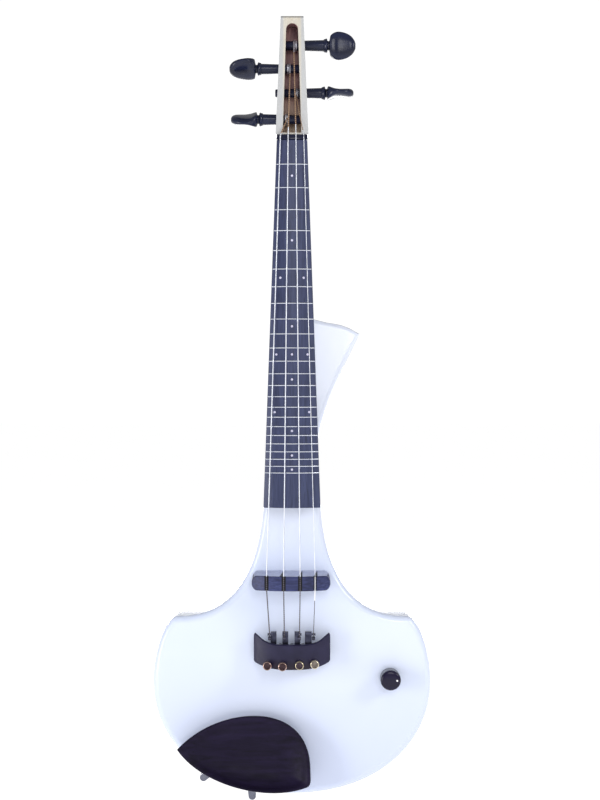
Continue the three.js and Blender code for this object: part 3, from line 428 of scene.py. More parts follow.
def make_looks():
    return {
        "lacquer": lacquer(), "neck": neck_lacquer(), "pegbox": pegbox_wood(), "board": board_wood(),
        "ebony": polished_ebony("ebony"), "bridge": bridge_black(), "tail": tail_satin(),
        "fret": plated("fret_wire", [(206, 210, 224), (232, 236, 246)], (0.16, 0.3)),
        "wound": wound_wire(),
        "plain": plated("plain_string", [(220, 223, 232), (240, 242, 248)], (0.32, 0.44)),
        "silk_dark": silk("silk_dark", [(14, 10, 20), (128, 122, 132)]),
        "silk_brown": silk("silk_brown", [(92, 66, 52), (178, 148, 118)]),
        "sleeve": moulded("string_sleeve", [(232, 233, 240), (246, 246, 250)], (0.3, 0.5)),
        "lever": plated("lever_black", [(46, 47, 62), (86, 88, 108)], (0.28, 0.45)),
        "copper": tuner_metal("screw_copper", (186, 156, 144), (52, 38, 42)),
        "gold": tuner_metal("screw_gold", (202, 188, 156), (56, 46, 54)),
        "pale_gold": tuner_metal("screw_pale_gold", (216, 206, 180), (104, 96, 90)),
        "steel": plated("bright_steel", [(176, 180, 190), (210, 213, 222)], (0.18, 0.34)),
        "knob": polished_ebony("knob_black", ((12, 8, 32), (22, 16, 50)), (0.16, 0.28)),
        "mark": moulded("knob_mark", [(236, 236, 240), (250, 250, 252)], (0.3, 0.45)),
        "aluminium": plated("shaft_aluminium", [(170, 173, 180), (200, 203, 210)], (0.28, 0.42)),
        "pot": plated("pot_steel", [(150, 152, 158), (184, 186, 192)], (0.3, 0.5)),
        "cell": moulded("battery_case", [(44, 47, 55), (66, 69, 78)], (0.35, 0.5)),
        "circuit": circuit_board(),
        "cover": moulded("cover_plastic", [(18, 18, 23), (34, 34, 41)], (0.4, 0.58)),
        "shield": moulded("shielding_paint", [(30, 30, 33), (52, 52, 56)], (0.6, 0.8), (700, 0.06)),
        "chin": chin_ebony(),
        # The clamp chrome's dark grey-blue colour is painted reflection: it stands in for the dark
        # surroundings the chrome reflects.
        "chrome": plated("clamp_chrome", [(98, 100, 113), (116, 118, 131)], (0.16, 0.28)),
        "ball": plated("ball_end_dark", [(54, 54, 66), (92, 92, 108)], (0.3, 0.48)),
        # Pale colour for the bridge's nut-facing facet: painted light.
        "painted_light_facet": moulded("bridge_facet_painted_light", [(142, 150, 186), (166, 174, 206)], (0.25, 0.42)),
        # Near-black colour for the bridge's string slots: painted shade.
        "slot_painted_shade": moulded("saddle_slot_painted_shade", [(10, 10, 18), (18, 18, 30)], (0.5, 0.7)),
        "cork": cork(), "inlay": inlay(),
    }


# ---- mesh helpers --------------------------------------------------------------------
BEVEL_SEGMENTS = 2
BEVEL_FROM = math.radians(32)   # edges sharper than this are rounded
WELD = 0.00002              # metres within which points are merged
FLAT = math.radians(0.4)    # faces closer in angle than this are merged


def finish_mesh(name, bm, smooth_angle=40, origin=None):
    """New object from bm, shaded smooth except at edges sharper than smooth_angle degrees."""
    bmesh.ops.recalc_face_normals(bm, faces=bm.faces)
    if origin is not None:
        bmesh.ops.translate(bm, verts=bm.verts, vec=-origin)
    limit = math.radians(smooth_angle)
    for face in bm.faces:
        face.smooth = True
    for edge in bm.edges:
        edge.smooth = len(edge.link_faces) == 2 and edge.calc_face_angle() < limit
    mesh = bpy.data.meshes.new(name)
    bm.to_mesh(mesh)
    bm.free()
    obj = bpy.data.objects.new(name, mesh)
    bpy.context.scene.collection.objects.link(obj)
    if origin is not None:
        obj.location = origin
    return obj


def add_loft(bm, rings, ring_closed=False):
    """Skin of quads through equal rings of points; the ends are capped, or joined if ring_closed."""
    loops = [[bm.verts.new(p) for p in ring] for ring in rings]
    pairs = list(zip(loops, loops[1:]))
    if ring_closed:
        pairs.append((loops[-1], loops[0]))
    for a, b in pairs:
        for i in range(len(a)):
            j = (i + 1) % len(a)
            bm.faces.new((a[i], a[j], b[j], b[i]))
    if not ring_closed:
        bm.faces.new(list(reversed(loops[0])))
        bm.faces.new(loops[-1])


def circle(sides, start=0.0):
    return [start + 2 * math.pi * k / sides for k in range(sides)]


def turned(bm, profile, sides, u, v, flutes=0, flute_depth=0.0):
    """Turned solid with its axis along w. profile: (radius, w, fluted) triples."""
    rings = []
    for radius, w, fluted in profile:
        ring = []
        for angle in circle(sides):
            cut = flute_depth * (0.5 - 0.5 * math.cos(flutes * angle)) if fluted else 0.0
            r = radius - cut
            ring.append(place(u + r * math.cos(angle), v + r * math.sin(angle), w))
        rings.append(ring)
    add_loft(bm, rings)


def weighted(obj):
    normals = obj.modifiers.new("weighted_normals", "WEIGHTED_NORMAL")
    normals.keep_sharp = True


def rounded(obj, width_mm):
    bevel = obj.modifiers.new("edge_rounding", "BEVEL")
    bevel.width = width_mm * MM
    bevel.segments = BEVEL_SEGMENTS
    bevel.limit_method = "ANGLE"
    bevel.angle_limit = BEVEL_FROM
    bevel.use_clamp_overlap = True
    weighted(obj)


def shell_of(node, name, smooth_angle=35, width_mm=0.0):
    """Finished piece with the shape of a CAD node: welded, smoothed, edges rounded."""
    bm = bmesh.new()
    bm.from_mesh(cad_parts[node].data)
    for layer in list(bm.loops.layers.uv):
        bm.loops.layers.uv.remove(layer)
    bmesh.ops.remove_doubles(bm, verts=bm.verts, dist=WELD)
    bmesh.ops.dissolve_limit(bm, angle_limit=FLAT, verts=bm.verts, edges=bm.edges)
    obj = finish_mesh(name, bm, smooth_angle)
    normals = obj.data.attributes.get("custom_normal")
    if normals is not None:
        obj.data.attributes.remove(normals)
    if width_mm:
        rounded(obj, width_mm)
    else:
        weighted(obj)
    return obj


def zone(obj, look, inside):
    """Gives the faces whose centre passes inside(u, v, w) a second material."""
    obj.data.materials.append(look)
    index = len(obj.data.materials) - 1
    for face in obj.data.polygons:
        if inside(*unplace(face.center)):
            face.material_index = index


def settle(obj, look, body=ROOT, stands_for=()):
    """Material, body and CAD nodes of a finished piece."""
    if not obj.data.materials:
        obj.data.materials.append(look)
    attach(obj, body)
    if stands_for:
        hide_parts(*stands_for)
    return obj


def paint_node(node, look):
    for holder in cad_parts[node].material_slots:
        holder.material = look


# ---- body, neck and board ------------------------------------------------------------
CAVITY_MARGIN = 1.0
SLOT_SIDE_MARGIN = 0.4
SLOT_END_MARGIN = 0.2
SLOT_FLOOR_MARGIN = 0.3
SLOT_LIP = 0.4              # the pegbox colour starts this far below the head's front


def make_body(looks):
    body = shell_of("body", "body_shell", 32)
    body.data.materials.append(looks["lacquer"])
    (u0, u1), (v0, v1), (w0, w1) = CAVITY

    def in_cavity(u, v, w):
        across = u0 - CAVITY_MARGIN < u < u1 + CAVITY_MARGIN
        along = v0 - CAVITY_MARGIN < v < v1 + CAVITY_MARGIN
        return across and along and w0 < w < w1
    zone(body, looks["shield"], in_cavity)
    settle(body, None, stands_for=["body"])


def head_front(v):
    return HEAD_FRONT - (v - HEAD_LOW) * math.tan(HEAD_TILT)


def slot_half(v):
    return lerp(*SLOT_HALF, clamp01((v - SLOT[0]) / (SLOT[1] - SLOT[0]))) + SLOT_SIDE_MARGIN


def make_neck(looks):
    neck = shell_of("neck", "neck_shell", 34)
    neck.data.materials.append(looks["neck"])

    def in_pegbox(u, v, w):
        deep = head_front(v) - w
        along = SLOT[0] - SLOT_END_MARGIN < v < SLOT[1] + SLOT_END_MARGIN
        return abs(u) < slot_half(v) and along and SLOT_LIP < deep < SLOT_DEPTH + SLOT_FLOOR_MARGIN
    zone(neck, looks["pegbox"], in_pegbox)
    settle(neck, None, stands_for=["neck"])


def board_top(u, v):
    t = (SCALE - v) / (SCALE - BOARD_END)
    half = lerp(*BOARD_HALF, t)
    across = u / half
    ends = [crown - (h * across) ** 2 / (2 * BOARD_RADIUS) for crown, h in zip(BOARD_CROWN, BOARD_HALF)]
    return lerp(*ends, t)


def make_board(looks):
    board = shell_of("fingerboard", "fingerboard_shell", 34, 0.5)
    settle(board, looks["board"], stands_for=["fingerboard"])
    nut = shell_of("nut", "nut_shell", 40, 0.25)
    settle(nut, looks["ebony"], stands_for=["nut"])
    for number in range(1, 25):
        paint_node(f"fret_{number:02d}", looks["fret"])


INLAY_R = 0.85
INLAY_SIDES = 20
# Share of the radius, and height above the board.
INLAY_RINGS = ((1.0, -0.3), (1.0, 0.07), (0.9, 0.11), (0.5, 0.13))
INLAYS = {2: (0,), 5: (0,), 7: (-8.6, 8.6), 10: (0,), 12: (-11.5, 0, 11.5), 14: (0,),
          17: (-12.7, 12.7), 19: (0,), 22: (0,), 24: (0,)}


def fret_v(number):
    return SCALE * 2 ** (-number / 12)


def make_inlays(looks):
    """Pearl dots in the middle of the space before each marked fret, standing just proud."""
    for number, places in INLAYS.items():
        v = (fret_v(number - 1) + fret_v(number)) / 2
        for k, u in enumerate(places):
            bm = bmesh.new()
            rings = []
            for scale, lift in INLAY_RINGS:
                ring = []
                for angle in circle(INLAY_SIDES):
                    du, dv = INLAY_R * scale * math.cos(angle), INLAY_R * scale * math.sin(angle)
                    ring.append(place(u + du, v + dv, board_top(u + du, v + dv) + lift))
                rings.append(ring)
            add_loft(bm, rings)
            dot = finish_mesh(f"inlay_{number:02d}_{k + 1}", bm)
            settle(dot, looks["inlay"])


# ---- pegs ----------------------------------------------------------------------------
# Collar ring and neck: distance from the collar, and how far they stand out from its radius.
PEG_SHANK = [(0, 0), (0.2, 0.4), (0.5, 0.7), (0.9, 0.62), (1.15, 0.8), (2.2, 1.15), (2.5, 1.0),
             (2.75, 0.6), (2.95, -0.5), (3.4, -0.75), (4.2, -0.7)]
# Thumb piece: distance, half width, half thickness, and how square its section is.
PEG_THUMB = [(4.6, 5.2, 4.6, 2), (5.2, 7.5, 4.8, 3.4), (7.2, 9.4, 4.2, 3), (10, 10.6, 3.3, 2.4),
             (13.5, 10.5, 3.0, 2), (17.5, 9.3, 3.2, 2), (20.8, 7.2, 3.4, 2), (23, 4.4, 2.7, 2),
             (24, 2.0, 1.3, 2)]
# Inner end: distance from it, and how far the shaft stands out from its radius there.
PEG_END = [(0, -0.7), (0.25, -0.25), (0.6, 0)]
PEG_SIDES = 40
THUMB_STEPS = 5
DISH = 0.08                 # how much thinner the thumb piece is in its middle
DISH_SPAN = (5, 9)          # distance over which the dish grows to its depth


def catmull(points, steps):
    """Smooth run through the points, steps to each span."""
    run = []
    for i in range(len(points) - 1):
        p0, p1 = points[max(i - 1, 0)], points[i]
        p2, p3 = points[i + 1], points[min(i + 2, len(points) - 1)]
        for k in range(steps):
            t = k / steps
            run.append(tuple(
                0.5 * (2 * b + (c - a) * t + (2 * a - 5 * b + 4 * c - d) * t * t
                       + (3 * b - a - 3 * c + d) * t ** 3)
                for a, b, c, d in zip(p0, p1, p2, p3)))
    run.append(points[-1])
    return run


def peg_axis(name):
    """(v, w) of a peg's axis, in millimetres."""
    low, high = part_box(f"peg_{name}")
    _, v, w = unplace((low + high) / 2)
    return v, w


def squarer(x, power):
    return math.copysign(abs(x) ** (2 / power), x)


def peg_ring(name, along, wide, thin, power=2.0, dish=0.0):
    v0, w0 = peg_axis(name)
    twist = math.radians(PEG_TWIST[name])
    u = PEG_SIDE[name] * (PEG_COLLAR[name] + along)
    ring = []
    for angle in circle(PEG_SIDES):
        a = wide * squarer(math.cos(angle), power)
        b = thin * squarer(math.sin(angle), power) * (1 - dish * math.sin(angle) ** 4)
        ring.append(place(u, v0 + a * math.cos(twist) - b * math.sin(twist),
                          w0 + a * math.sin(twist) + b * math.cos(twist)))
    return ring


def make_peg(name, looks):
    low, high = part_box(f"peg_{name}")
    ends = [low.x / MM, high.x / MM]
    inner = max(abs(e) for e in ends if e * PEG_SIDE[name] < 0)
    length = PEG_COLLAR[name] + inner
    tip = PEG_R_COLLAR[name] - length * PEG_TAPER
    profile = [(-length + along, tip + out, tip + out) for along, out in PEG_END]
    collar = PEG_R_COLLAR[name]
    shank = [(along, collar + out, collar + out) for along, out in PEG_SHANK]
    rings = [peg_ring(name, *row) for row in profile + shank]
    thumb = catmull(PEG_THUMB, THUMB_STEPS)
    rings += [peg_ring(name, *row, dish=DISH * smoothstep(*DISH_SPAN, row[0])) for row in thumb]
    bm = bmesh.new()
    add_loft(bm, rings)
    peg = finish_mesh(f"peg_turned_{name}", bm, 38)
    settle(peg, looks["ebony"], f"{name}_peg", [f"peg_{name}"])


# ---- strings -------------------------------------------------------------------------
STRING_RADIUS = {"g": 0.42, "d": 0.4, "a": 0.36, "e": 0.24}
STRING_U_NUT = {"g": -8.7, "d": -2.9, "a": 2.9, "e": 8.7}
STRING_U_SADDLE = {"g": -18.5, "d": -6.0, "a": 6.0, "e": 16.9}
STRING_U_TAIL = {"g": -16.4, "d": -5.6, "a": 5.5, "e": 15.8}
COIL_U = {"g": -2.9, "d": -1.4, "a": 1.2, "e": 2.2}
COIL_PITCH = 1.05
COIL_TURNS = 2.5
COIL_STEPS = 24
COIL_GAP = 0.2              # between the peg's shaft and the string
TUBE_SIDES = 10
SLEEVE_TAIL = 8.0           # how far the sleeve reaches past the bridge
SLEEVE_LEAD = 0.25          # share of the saddle's length that it reaches ahead of it
SLEEVE_STEPS = 8
SLEEVE_R = 0.5
LAY = 3.0                   # length of one turn of the lapping behind the bridge
TWIST_MEAN = 1.02           # shares of the radius: the mean, and how far threads rise
TWIST_RISE = 0.3
LAPPING_THIN = 0.95
LAPPING_FROM = 6.6          # v where the lapping begins
PLAIN_STEPS = 12
LAPPING_STEPS = 80
SILK_STEPS = 24
SILK_INSET = (0.12, 0.1)    # shares of the stretch left bare at the nut and at the peg
SILK_OUT = 0.07             # how far the silk stands out from the string

NUT_TOP = 45.4
NUT_GROOVE = 0.5
GROOVE_GAP = 0.04
NUT_AIM = 2.0               # the coil's end aims this far behind the nut's front edge
SADDLE_TOP = 64
TAIL_TOP = 54.9
TAIL_SLOPE = 0.05
# Two points of each string at a support: place along the neck, and lift.
NUT_PASS = ((2.6, 0.05), (0.4, 0))      # from the nut's front edge
SADDLE_PASS = ((4.5, 0), (-3.2, -0.1))
TAIL_PASS = ((-36, 0.35), (-38.2, 0))
BALL_V = -39.3
BALL_FROM = -37.9           # faces below this v have the ball end's material
BALL_SIDES = 24


def nut_w(name):
    arch = STRING_U_NUT[name] ** 2 / (2 * BOARD_RADIUS)
    return NUT_TOP - arch - NUT_GROOVE + STRING_RADIUS[name] + GROOVE_GAP


def saddle_w(name):
    return SADDLE_TOP - STRING_U_SADDLE[name] ** 2 / (2 * BOARD_RADIUS)


def tail_w(name):
    return TAIL_TOP - TAIL_SLOPE * abs(STRING_U_TAIL[name])


def peg_coil(name):
    """Turns round the peg, ending where the string leaves it towards the nut."""
    v0, w0 = peg_axis(name)
    radius = STRING_RADIUS[name]
    reach = PEG_COLLAR[name] - PEG_SIDE[name] * COIL_U[name]
    coil = PEG_R_COLLAR[name] - reach * PEG_TAPER + COIL_GAP + radius
    dv, dw = v0 - (SCALE + NUT_AIM), w0 - nut_w(name)
    entry = -math.atan2(dw, dv) - math.asin(coil / math.hypot(dv, dw))
    points = []
    for k in range(int(COIL_TURNS * COIL_STEPS), -1, -1):
        turn = k / COIL_STEPS
        angle = entry + turn * 2 * math.pi
        points.append(place(COIL_U[name] + PEG_SIDE[name] * COIL_PITCH * turn,
                            v0 + coil * math.sin(angle), w0 + coil * math.cos(angle)))
    return points


def over_nut(name):
    u, w = STRING_U_NUT[name], nut_w(name)
    return [place(u, SCALE + v, w + lift) for v, lift in NUT_PASS]


def over_saddle(name):
    u, w = STRING_U_SADDLE[name], saddle_w(name)
    return [place(u, v, w + lift) for v, lift in SADDLE_PASS]


def at_tail(name):
    u, w = STRING_U_TAIL[name], tail_w(name)
    return [place(u, v, w + lift) for v, lift in TAIL_PASS]


def sweep(bm, points, section):
    """Tube along a line; section(distance, angle) gives the radius in metres."""
    rings = []
    distance = 0.0
    for i, p in enumerate(points):
        before = points[max(i - 1, 0)]
        after = points[min(i + 1, len(points) - 1)]
        distance += (p - before).length
        along = ((p - before).normalized() + (after - p).normalized()).normalized()
        across = Vector((1, 0, 0))
        across = (across - along * across.dot(along)).normalized()
        up = along.cross(across)
        rings.append([
            p + (across * math.cos(a) + up * math.sin(a)) * section(distance, a)
            for a in circle(TUBE_SIDES)])
    add_loft(bm, rings)


def divided(start, end, count):
    return [start.lerp(end, i / count) for i in range(count + 1)]


def plain_tube(radius):
    return lambda distance, angle: radius * MM


def twisted_tube(radius):
    """Two threads laid round each other."""
    def section(distance, angle):
        phase = 2 * math.pi * distance / (LAY * MM)
        return radius * MM * (TWIST_MEAN + TWIST_RISE * math.cos(2 * (angle - phase)))
    return section


def lapping_start(name):
    """Where the thread lapping begins, on the nut side of the bridge."""
    u, w = STRING_U_SADDLE[name], saddle_w(name)
    return place(u, LAPPING_FROM, w)


def make_string(name, looks):
    radius = STRING_RADIUS[name]
    bm = bmesh.new()
    nut, saddle, tail = over_nut(name), over_saddle(name), at_tail(name)
    playing = peg_coil(name) + nut + divided(nut[-1], lapping_start(name), PLAIN_STEPS)[1:]
    sweep(bm, playing, plain_tube(radius))
    wire = finish_mesh(f"string_wire_{name}", bm, 60)
    look = looks["plain" if name == "e" else "wound"]
    settle(wire, look, stands_for=[f"string_{name}"])
    bm = bmesh.new()
    over = divided(lapping_start(name), saddle[1], PLAIN_STEPS)[:-1]
    behind = over + divided(saddle[1], tail[0], LAPPING_STEPS) + [tail[1]]
    sweep(bm, behind, twisted_tube(radius * LAPPING_THIN))
    add_ball(bm, name)
    lapping = finish_mesh(f"string_lapping_{name}", bm, 60)
    settle(lapping, looks["silk_dark"])
    zone_ball(lapping, looks["ball"])
    make_peg_silk(name, looks)


def add_ball(bm, name):
    """Ball end: a small drum with rounded edges, across the lever's fork."""
    u, v, w = STRING_U_TAIL[name], BALL_V, tail_w(name)
    profile = [(-1.15, 0.9), (-1.05, 1.25), (-0.75, 1.45), (0.75, 1.45), (1.05, 1.25), (1.15, 0.9)]
    rings = [[place(u + along, v + r * math.cos(a), w + r * math.sin(a)) for a in circle(BALL_SIDES)]
             for along, r in profile]
    add_loft(bm, rings)


def zone_ball(lapping, look):
    zone(lapping, look, lambda u, v, w: v < BALL_FROM)


def make_peg_silk(name, looks):
    """Brown lapping on the stretch of string between the nut and the peg."""
    coil, nut = peg_coil(name)[-1], over_nut(name)[0]
    bm = bmesh.new()
    start = nut.lerp(coil, SILK_INSET[0])
    end = coil.lerp(nut, SILK_INSET[1])
    sweep(bm, divided(start, end, SILK_STEPS), plain_tube(STRING_RADIUS[name] + SILK_OUT))
    settle(finish_mesh(f"string_silk_{name}", bm, 60), looks["silk_brown"])


def make_sleeve(looks):
    """White sleeve that keeps the E string from cutting into the bridge."""
    bm = bmesh.new()
    start, end = over_saddle("e")
    reach = end.lerp(at_tail("e")[0], SLEEVE_TAIL / (end - at_tail("e")[0]).length * MM)
    sweep(bm, divided(start.lerp(end, -SLEEVE_LEAD), end, SLEEVE_STEPS) + [reach], plain_tube(SLEEVE_R))
    settle(finish_mesh("string_sleeve_e", bm, 60), looks["sleeve"])


# ---- bridge, tailpiece, fine tuners --------------------------------------------------
SADDLE_HALF = {"g": 1.5, "d": 1.5, "a": 1.5, "e": 1.1}
BRIDGE_CROWN = 65.1
BRIDGE_ARCH = 95.0
SLOT_FLOOR = 56             # the string slots end above this height
TOP_SKIN = 0.12             # faces nearer the top than this belong to the top
SLOT_SLACK = 0.02
LIT_FACET_FROM = 6.9            # v where the bridge's front facet begins; that facet is painted pale as painted light


def in_saddle_slot(u, v, w):
    """Whether a point of the bridge lies inside one of its four string slots."""
    below_top = BRIDGE_CROWN - u * u / BRIDGE_ARCH - w > TOP_SKIN
    near = any(abs(u - STRING_U_SADDLE[n]) < SADDLE_HALF[n] + SLOT_SLACK for n in STRINGS)
    return near and below_top and w > SLOT_FLOOR


def make_bridge(looks):
    bridge = shell_of("bridge", "bridge_shell", 40, 0.35)
    bridge.data.materials.append(looks["bridge"])
    # The nut-facing facet is painted pale: painted light on that side of the bridge.
    zone(bridge, looks["painted_light_facet"], lambda u, v, w: v > LIT_FACET_FROM)
    # Faces inside the string slots are painted near-black: painted shade.
    zone(bridge, looks["slot_painted_shade"], in_saddle_slot)
    settle(bridge, None, stands_for=["bridge"])


def make_tailpiece(looks):
    tail = shell_of("tailpiece", "tailpiece_shell", 32, 0.3)
    settle(tail, looks["tail"], stands_for=["tailpiece"])


def make_lever(name, looks):
    lever = shell_of(f"tuner_lever_{name}", f"lever_shell_{name}", 35, 0.22)
    settle(lever, looks["lever"], f"{name}_tuner_lever", [f"tuner_lever_{name}"])


SCREW_LOOK = {"g": "copper", "d": "copper", "a": "gold", "e": "pale_gold"}


SCREW_HEAD = 5
PITCH = 0.4


def make_tuner_screw(name, looks):
    """Knurled thumb screw with a rimmed, slightly dished face and a grooved shank."""
    node = f"tuner_screw_{name}"
    low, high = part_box(node)
    u, v, _ = unplace((low + high) / 2)
    foot, top = -high.y / MM, -low.y / MM
    head = top - SCREW_HEAD
    profile = [(0.5, foot, 0), (0.9, foot + 0.1, 0), (1.25, foot + 0.6, 0)]
    turns = int((head - foot - 1.2) / PITCH)
    for k in range(turns):
        w = foot + 0.7 + k * PITCH
        profile += [(1.28, w, 0), (1.08, w + PITCH / 2, 0)]
    profile += [
        (1.25, head - 0.3, 0), (1.3, head, 0), (2.8, head, 0), (3.1, head + 0.2, 0), (3.24, head + 0.5, 1),
        (3.24, head + 4.2, 1), (3.1, head + 4.55, 0), (2.85, head + 4.85, 0), (2.6, head + 4.95, 0),
        (2.4, head + 4.85, 0), (2.25, head + 4.65, 0), (1.2, head + 4.55, 0), (0.3, head + 4.55, 0)]
    bm = bmesh.new()
    turned(bm, profile, 96, u, v, flutes=24, flute_depth=0.16)
    screw = finish_mesh(f"thumb_screw_{name}", bm, 34, origin=place(u, v, (foot + top) / 2))
    settle(screw, looks[SCREW_LOOK[name]], f"{name}_tuner_screw", [node])


# ---- controls and electronics --------------------------------------------------------
MARK_OUT = 4.6              # from the knob's axis to its mark


def make_knob(looks):
    low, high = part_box("volume_knob")
    u, v, _ = unplace((low + high) / 2)
    base, top = -high.y / MM, -low.y / MM
    r = (high.x - low.x) / 2 / MM
    profile = [
        (3.1, base + 2, 0), (3.1, base + 0.1, 0), (6.9, base, 0), (7.3, base + 0.3, 0), (r, base + 0.8, 1),
        (r, top - 3.2, 1), (r - 0.05, top - 2.2, 0), (r - 0.3, top - 1.4, 0), (r - 0.75, top - 0.8, 0),
        (r - 1.4, top - 0.45, 0), (r - 2.6, top - 0.25, 0), (r - 4.5, top - 0.1, 0), (0.6, top, 0)]
    bm = bmesh.new()
    turned(bm, profile, 120, u, v, flutes=30, flute_depth=0.28)
    knob = finish_mesh("knob_turned", bm, 34, origin=place(u, v, base))
    settle(knob, looks["knob"], "volume_control", ["volume_knob"])
    bm = bmesh.new()
    dot = [(0.65, top - 0.7, 0), (0.65, top - 0.12, 0), (0.55, top - 0.03, 0), (0.3, top - 0.01, 0)]
    turned(bm, dot, 24, u + MARK_OUT, v)
    settle(finish_mesh("knob_mark", bm), looks["mark"], "volume_control")
    paint_node("volume_shaft", looks["aluminium"])
    paint_node("potentiometer", looks["pot"])


HEX_CORNER = 7.2
HEX_BORE = 5.05


def hex_radius(angle):
    """Distance from the axis to a hexagon's side, at an angle."""
    return HEX_CORNER * math.cos(math.pi / 6) / math.cos((angle % (math.pi / 3)) - math.pi / 6)


def make_jack(looks):
    jack = shell_of("output_jack", "output_jack_shell", 35, 0.15)
    settle(jack, looks["steel"], stands_for=["output_jack"])
    low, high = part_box("jack_nut")
    _, v, w = unplace((low + high) / 2)
    base = low.x / MM

    def at(u, radius, angle):
        return place(u, v + radius * math.cos(angle), w + radius * math.sin(angle))
    bm = bmesh.new()
    rings = []
    for angle in circle(72):
        edge = hex_radius(angle)
        rings.append([
            at(base, HEX_BORE, angle), at(base, 8.1, angle), at(base + 0.15, 8.2, angle),
            at(base + 0.65, 8.2, angle), at(base + 0.8, 8.1, angle), at(base + 0.82, edge, angle),
            at(base + 2.0, edge, angle), at(base + 2.45, min(edge, 6.35), angle),
            at(base + 2.45, HEX_BORE + 0.3, angle), at(base + 2.2, HEX_BORE, angle)])
    add_loft(bm, rings, ring_closed=True)
    settle(finish_mesh("jack_hex_nut", bm, 30), looks["steel"], stands_for=["jack_nut"])


COVER_SCREWS = ((26, -107), (62, -107), (84, -88), (84, -58), (55, -54), (26, -58))
COVER_SCREW_R = 1.9
COVER_SCREW_SIDES = 48
HEAD_SUNK = 0.06            # how far the heads' faces lie inside the flat back
RECESS_ARM = 0.42           # half width of the cross
RECESS_REACH = 1.25
RECESS_DEPTH = 0.6
SINK_GAP = 0.12             # between a screw head and its countersink


def cross_recess(r, angle):
    """How far the driver recess pushes the head's face in, at a point of the ring."""
    across = min(abs(r * math.cos(angle)), abs(r * math.sin(angle)))
    return RECESS_DEPTH if across < RECESS_ARM and r < RECESS_REACH else 0.0


def make_back_cover(looks):
    cover = shell_of("back_cover", "back_cover_plate", 35)
    cover.data.materials.append(looks["cover"])
    for index, (u, v) in enumerate(COVER_SCREWS):
        make_cover_screw(index, u, v, looks)
    settle(cover, None, stands_for=["back_cover"])
    sink_screws(cover)


def sink_screws(cover):
    """Countersinks in the cover, one for each screw head."""
    bm = bmesh.new()
    for u, v in COVER_SCREWS:
        r = COVER_SCREW_R + SINK_GAP
        turned(bm, [(r + 0.2, -0.4, 0), (r, 0.15, 0), (0.9, 1.4, 0), (0.9, 3, 0)], 24, u, v)
    cutter = finish_mesh("countersinks", bm)
    cut = cover.modifiers.new("countersinks", "BOOLEAN")
    cut.operation = "DIFFERENCE"
    cut.object = cutter
    cut.solver = "EXACT"
    apply_modifiers(cover)
    bpy.data.objects.remove(cutter)
    rounded(cover, 0.2)


def apply_modifiers(obj):
    """Bakes an object's modifiers into its own mesh."""
    bpy.context.view_layer.update()
    graph = bpy.context.evaluated_depsgraph_get()
    mesh = bpy.data.meshes.new_from_object(obj.evaluated_get(graph))
    obj.modifiers.clear()
    obj.data = mesh


def make_cover_screw(index, u, v, looks):
    bm = bmesh.new()
    angles = circle(COVER_SCREW_SIDES)
    rings = []
    for r, w in ((0.75, 2.1), (0.75, 1.3), (COVER_SCREW_R, 0.16), (COVER_SCREW_R - 0.08, 0.07)):
        rings.append([place(u + r * math.cos(a), v + r * math.sin(a), w) for a in angles])
    for r in (1.6, 1.3, 1.2, 0.9, 0.6, 0.44, 0.3):
        rings.append([place(u + r * math.cos(a), v + r * math.sin(a), HEAD_SUNK + cross_recess(r, a))
                      for a in angles])
    add_loft(bm, rings)
    settle(finish_mesh(f"cover_screw_{index + 1}", bm, 30), looks["steel"])


# ---- chin rest and clamp -------------------------------------------------------------
REST_CENTRE = (-27.0, -127.0)
CHIN_CURVES = (
    ((-84.3, -120.9), (-69.6, -105.6), (-48.8, -96.5), (-27.7, -96.5)),
    ((-27.7, -96.5), (-3.4, -96.5), (13.5, -110), (13.5, -135.1)),
    ((13.5, -135.1), (13.8, -143), (14.6, -146.6), (10.5, -148)),
    ((10.5, -148), (-18.1, -159.1), (-66.9, -145.8), (-84.3, -120.9)))
CHIN_STEPS = 26
RIM_HEIGHTS = (60.5, 54)    # at the lower and the upper end of the rim
RIM_SPAN = (-152, -98)
CORK_INSIDE = -149          # the cork pads lie above this v
FRONT_CORK = (40, 42.35)    # between the body's front and the bracket
REST_CORK = 44.1            # above this height, between the bracket and the rest
FOOT_CORK = (3.3, 5.3)
# Share of the outline, base height, share of the rim height: from under the plate over its rim.
CHIN_RINGS = [(0.55, 45.4, 0), (0.86, 45.6, 0), (0.95, 46.4, 0.1), (0.99, 48, 0.4), (1.0, 49, 0.75),
              (0.985, 50, 0.95), (0.955, 50, 1), (0.9, 50, 0.86), (0.8, 49.8, 0.55), (0.62, 49.5, 0.25),
              (0.36, 49.2, 0.08), (0.08, 49.0, 0.0)]


def bezier(curve, t):
    a, b, c, d = curve
    s = 1 - t
    return tuple(s ** 3 * p + 3 * s * s * t * q + 3 * s * t * t * r + t ** 3 * e
                 for p, q, r, e in zip(a, b, c, d))


def rim_height(v):
    return lerp(*RIM_HEIGHTS, smoothstep(*RIM_SPAN, v))


def make_chin_rest(looks):
    outline = [bezier(curve, k / CHIN_STEPS) for curve in CHIN_CURVES for k in range(CHIN_STEPS)]
    rings = []
    for share, base, rise in catmull(CHIN_RINGS, 4):
        ring = []
        for u, v in outline:
            height = lerp(base, rim_height(v), rise)
            reach = min(share, 1)
            ring.append(place(lerp(REST_CENTRE[0], u, reach), lerp(REST_CENTRE[1], v, reach), height))
        rings.append(ring)
    bm = bmesh.new()
    add_loft(bm, rings)
    settle(finish_mesh("chin_rest_carved", bm, 50), looks["chin"],
           stands_for=["chin_rest"])


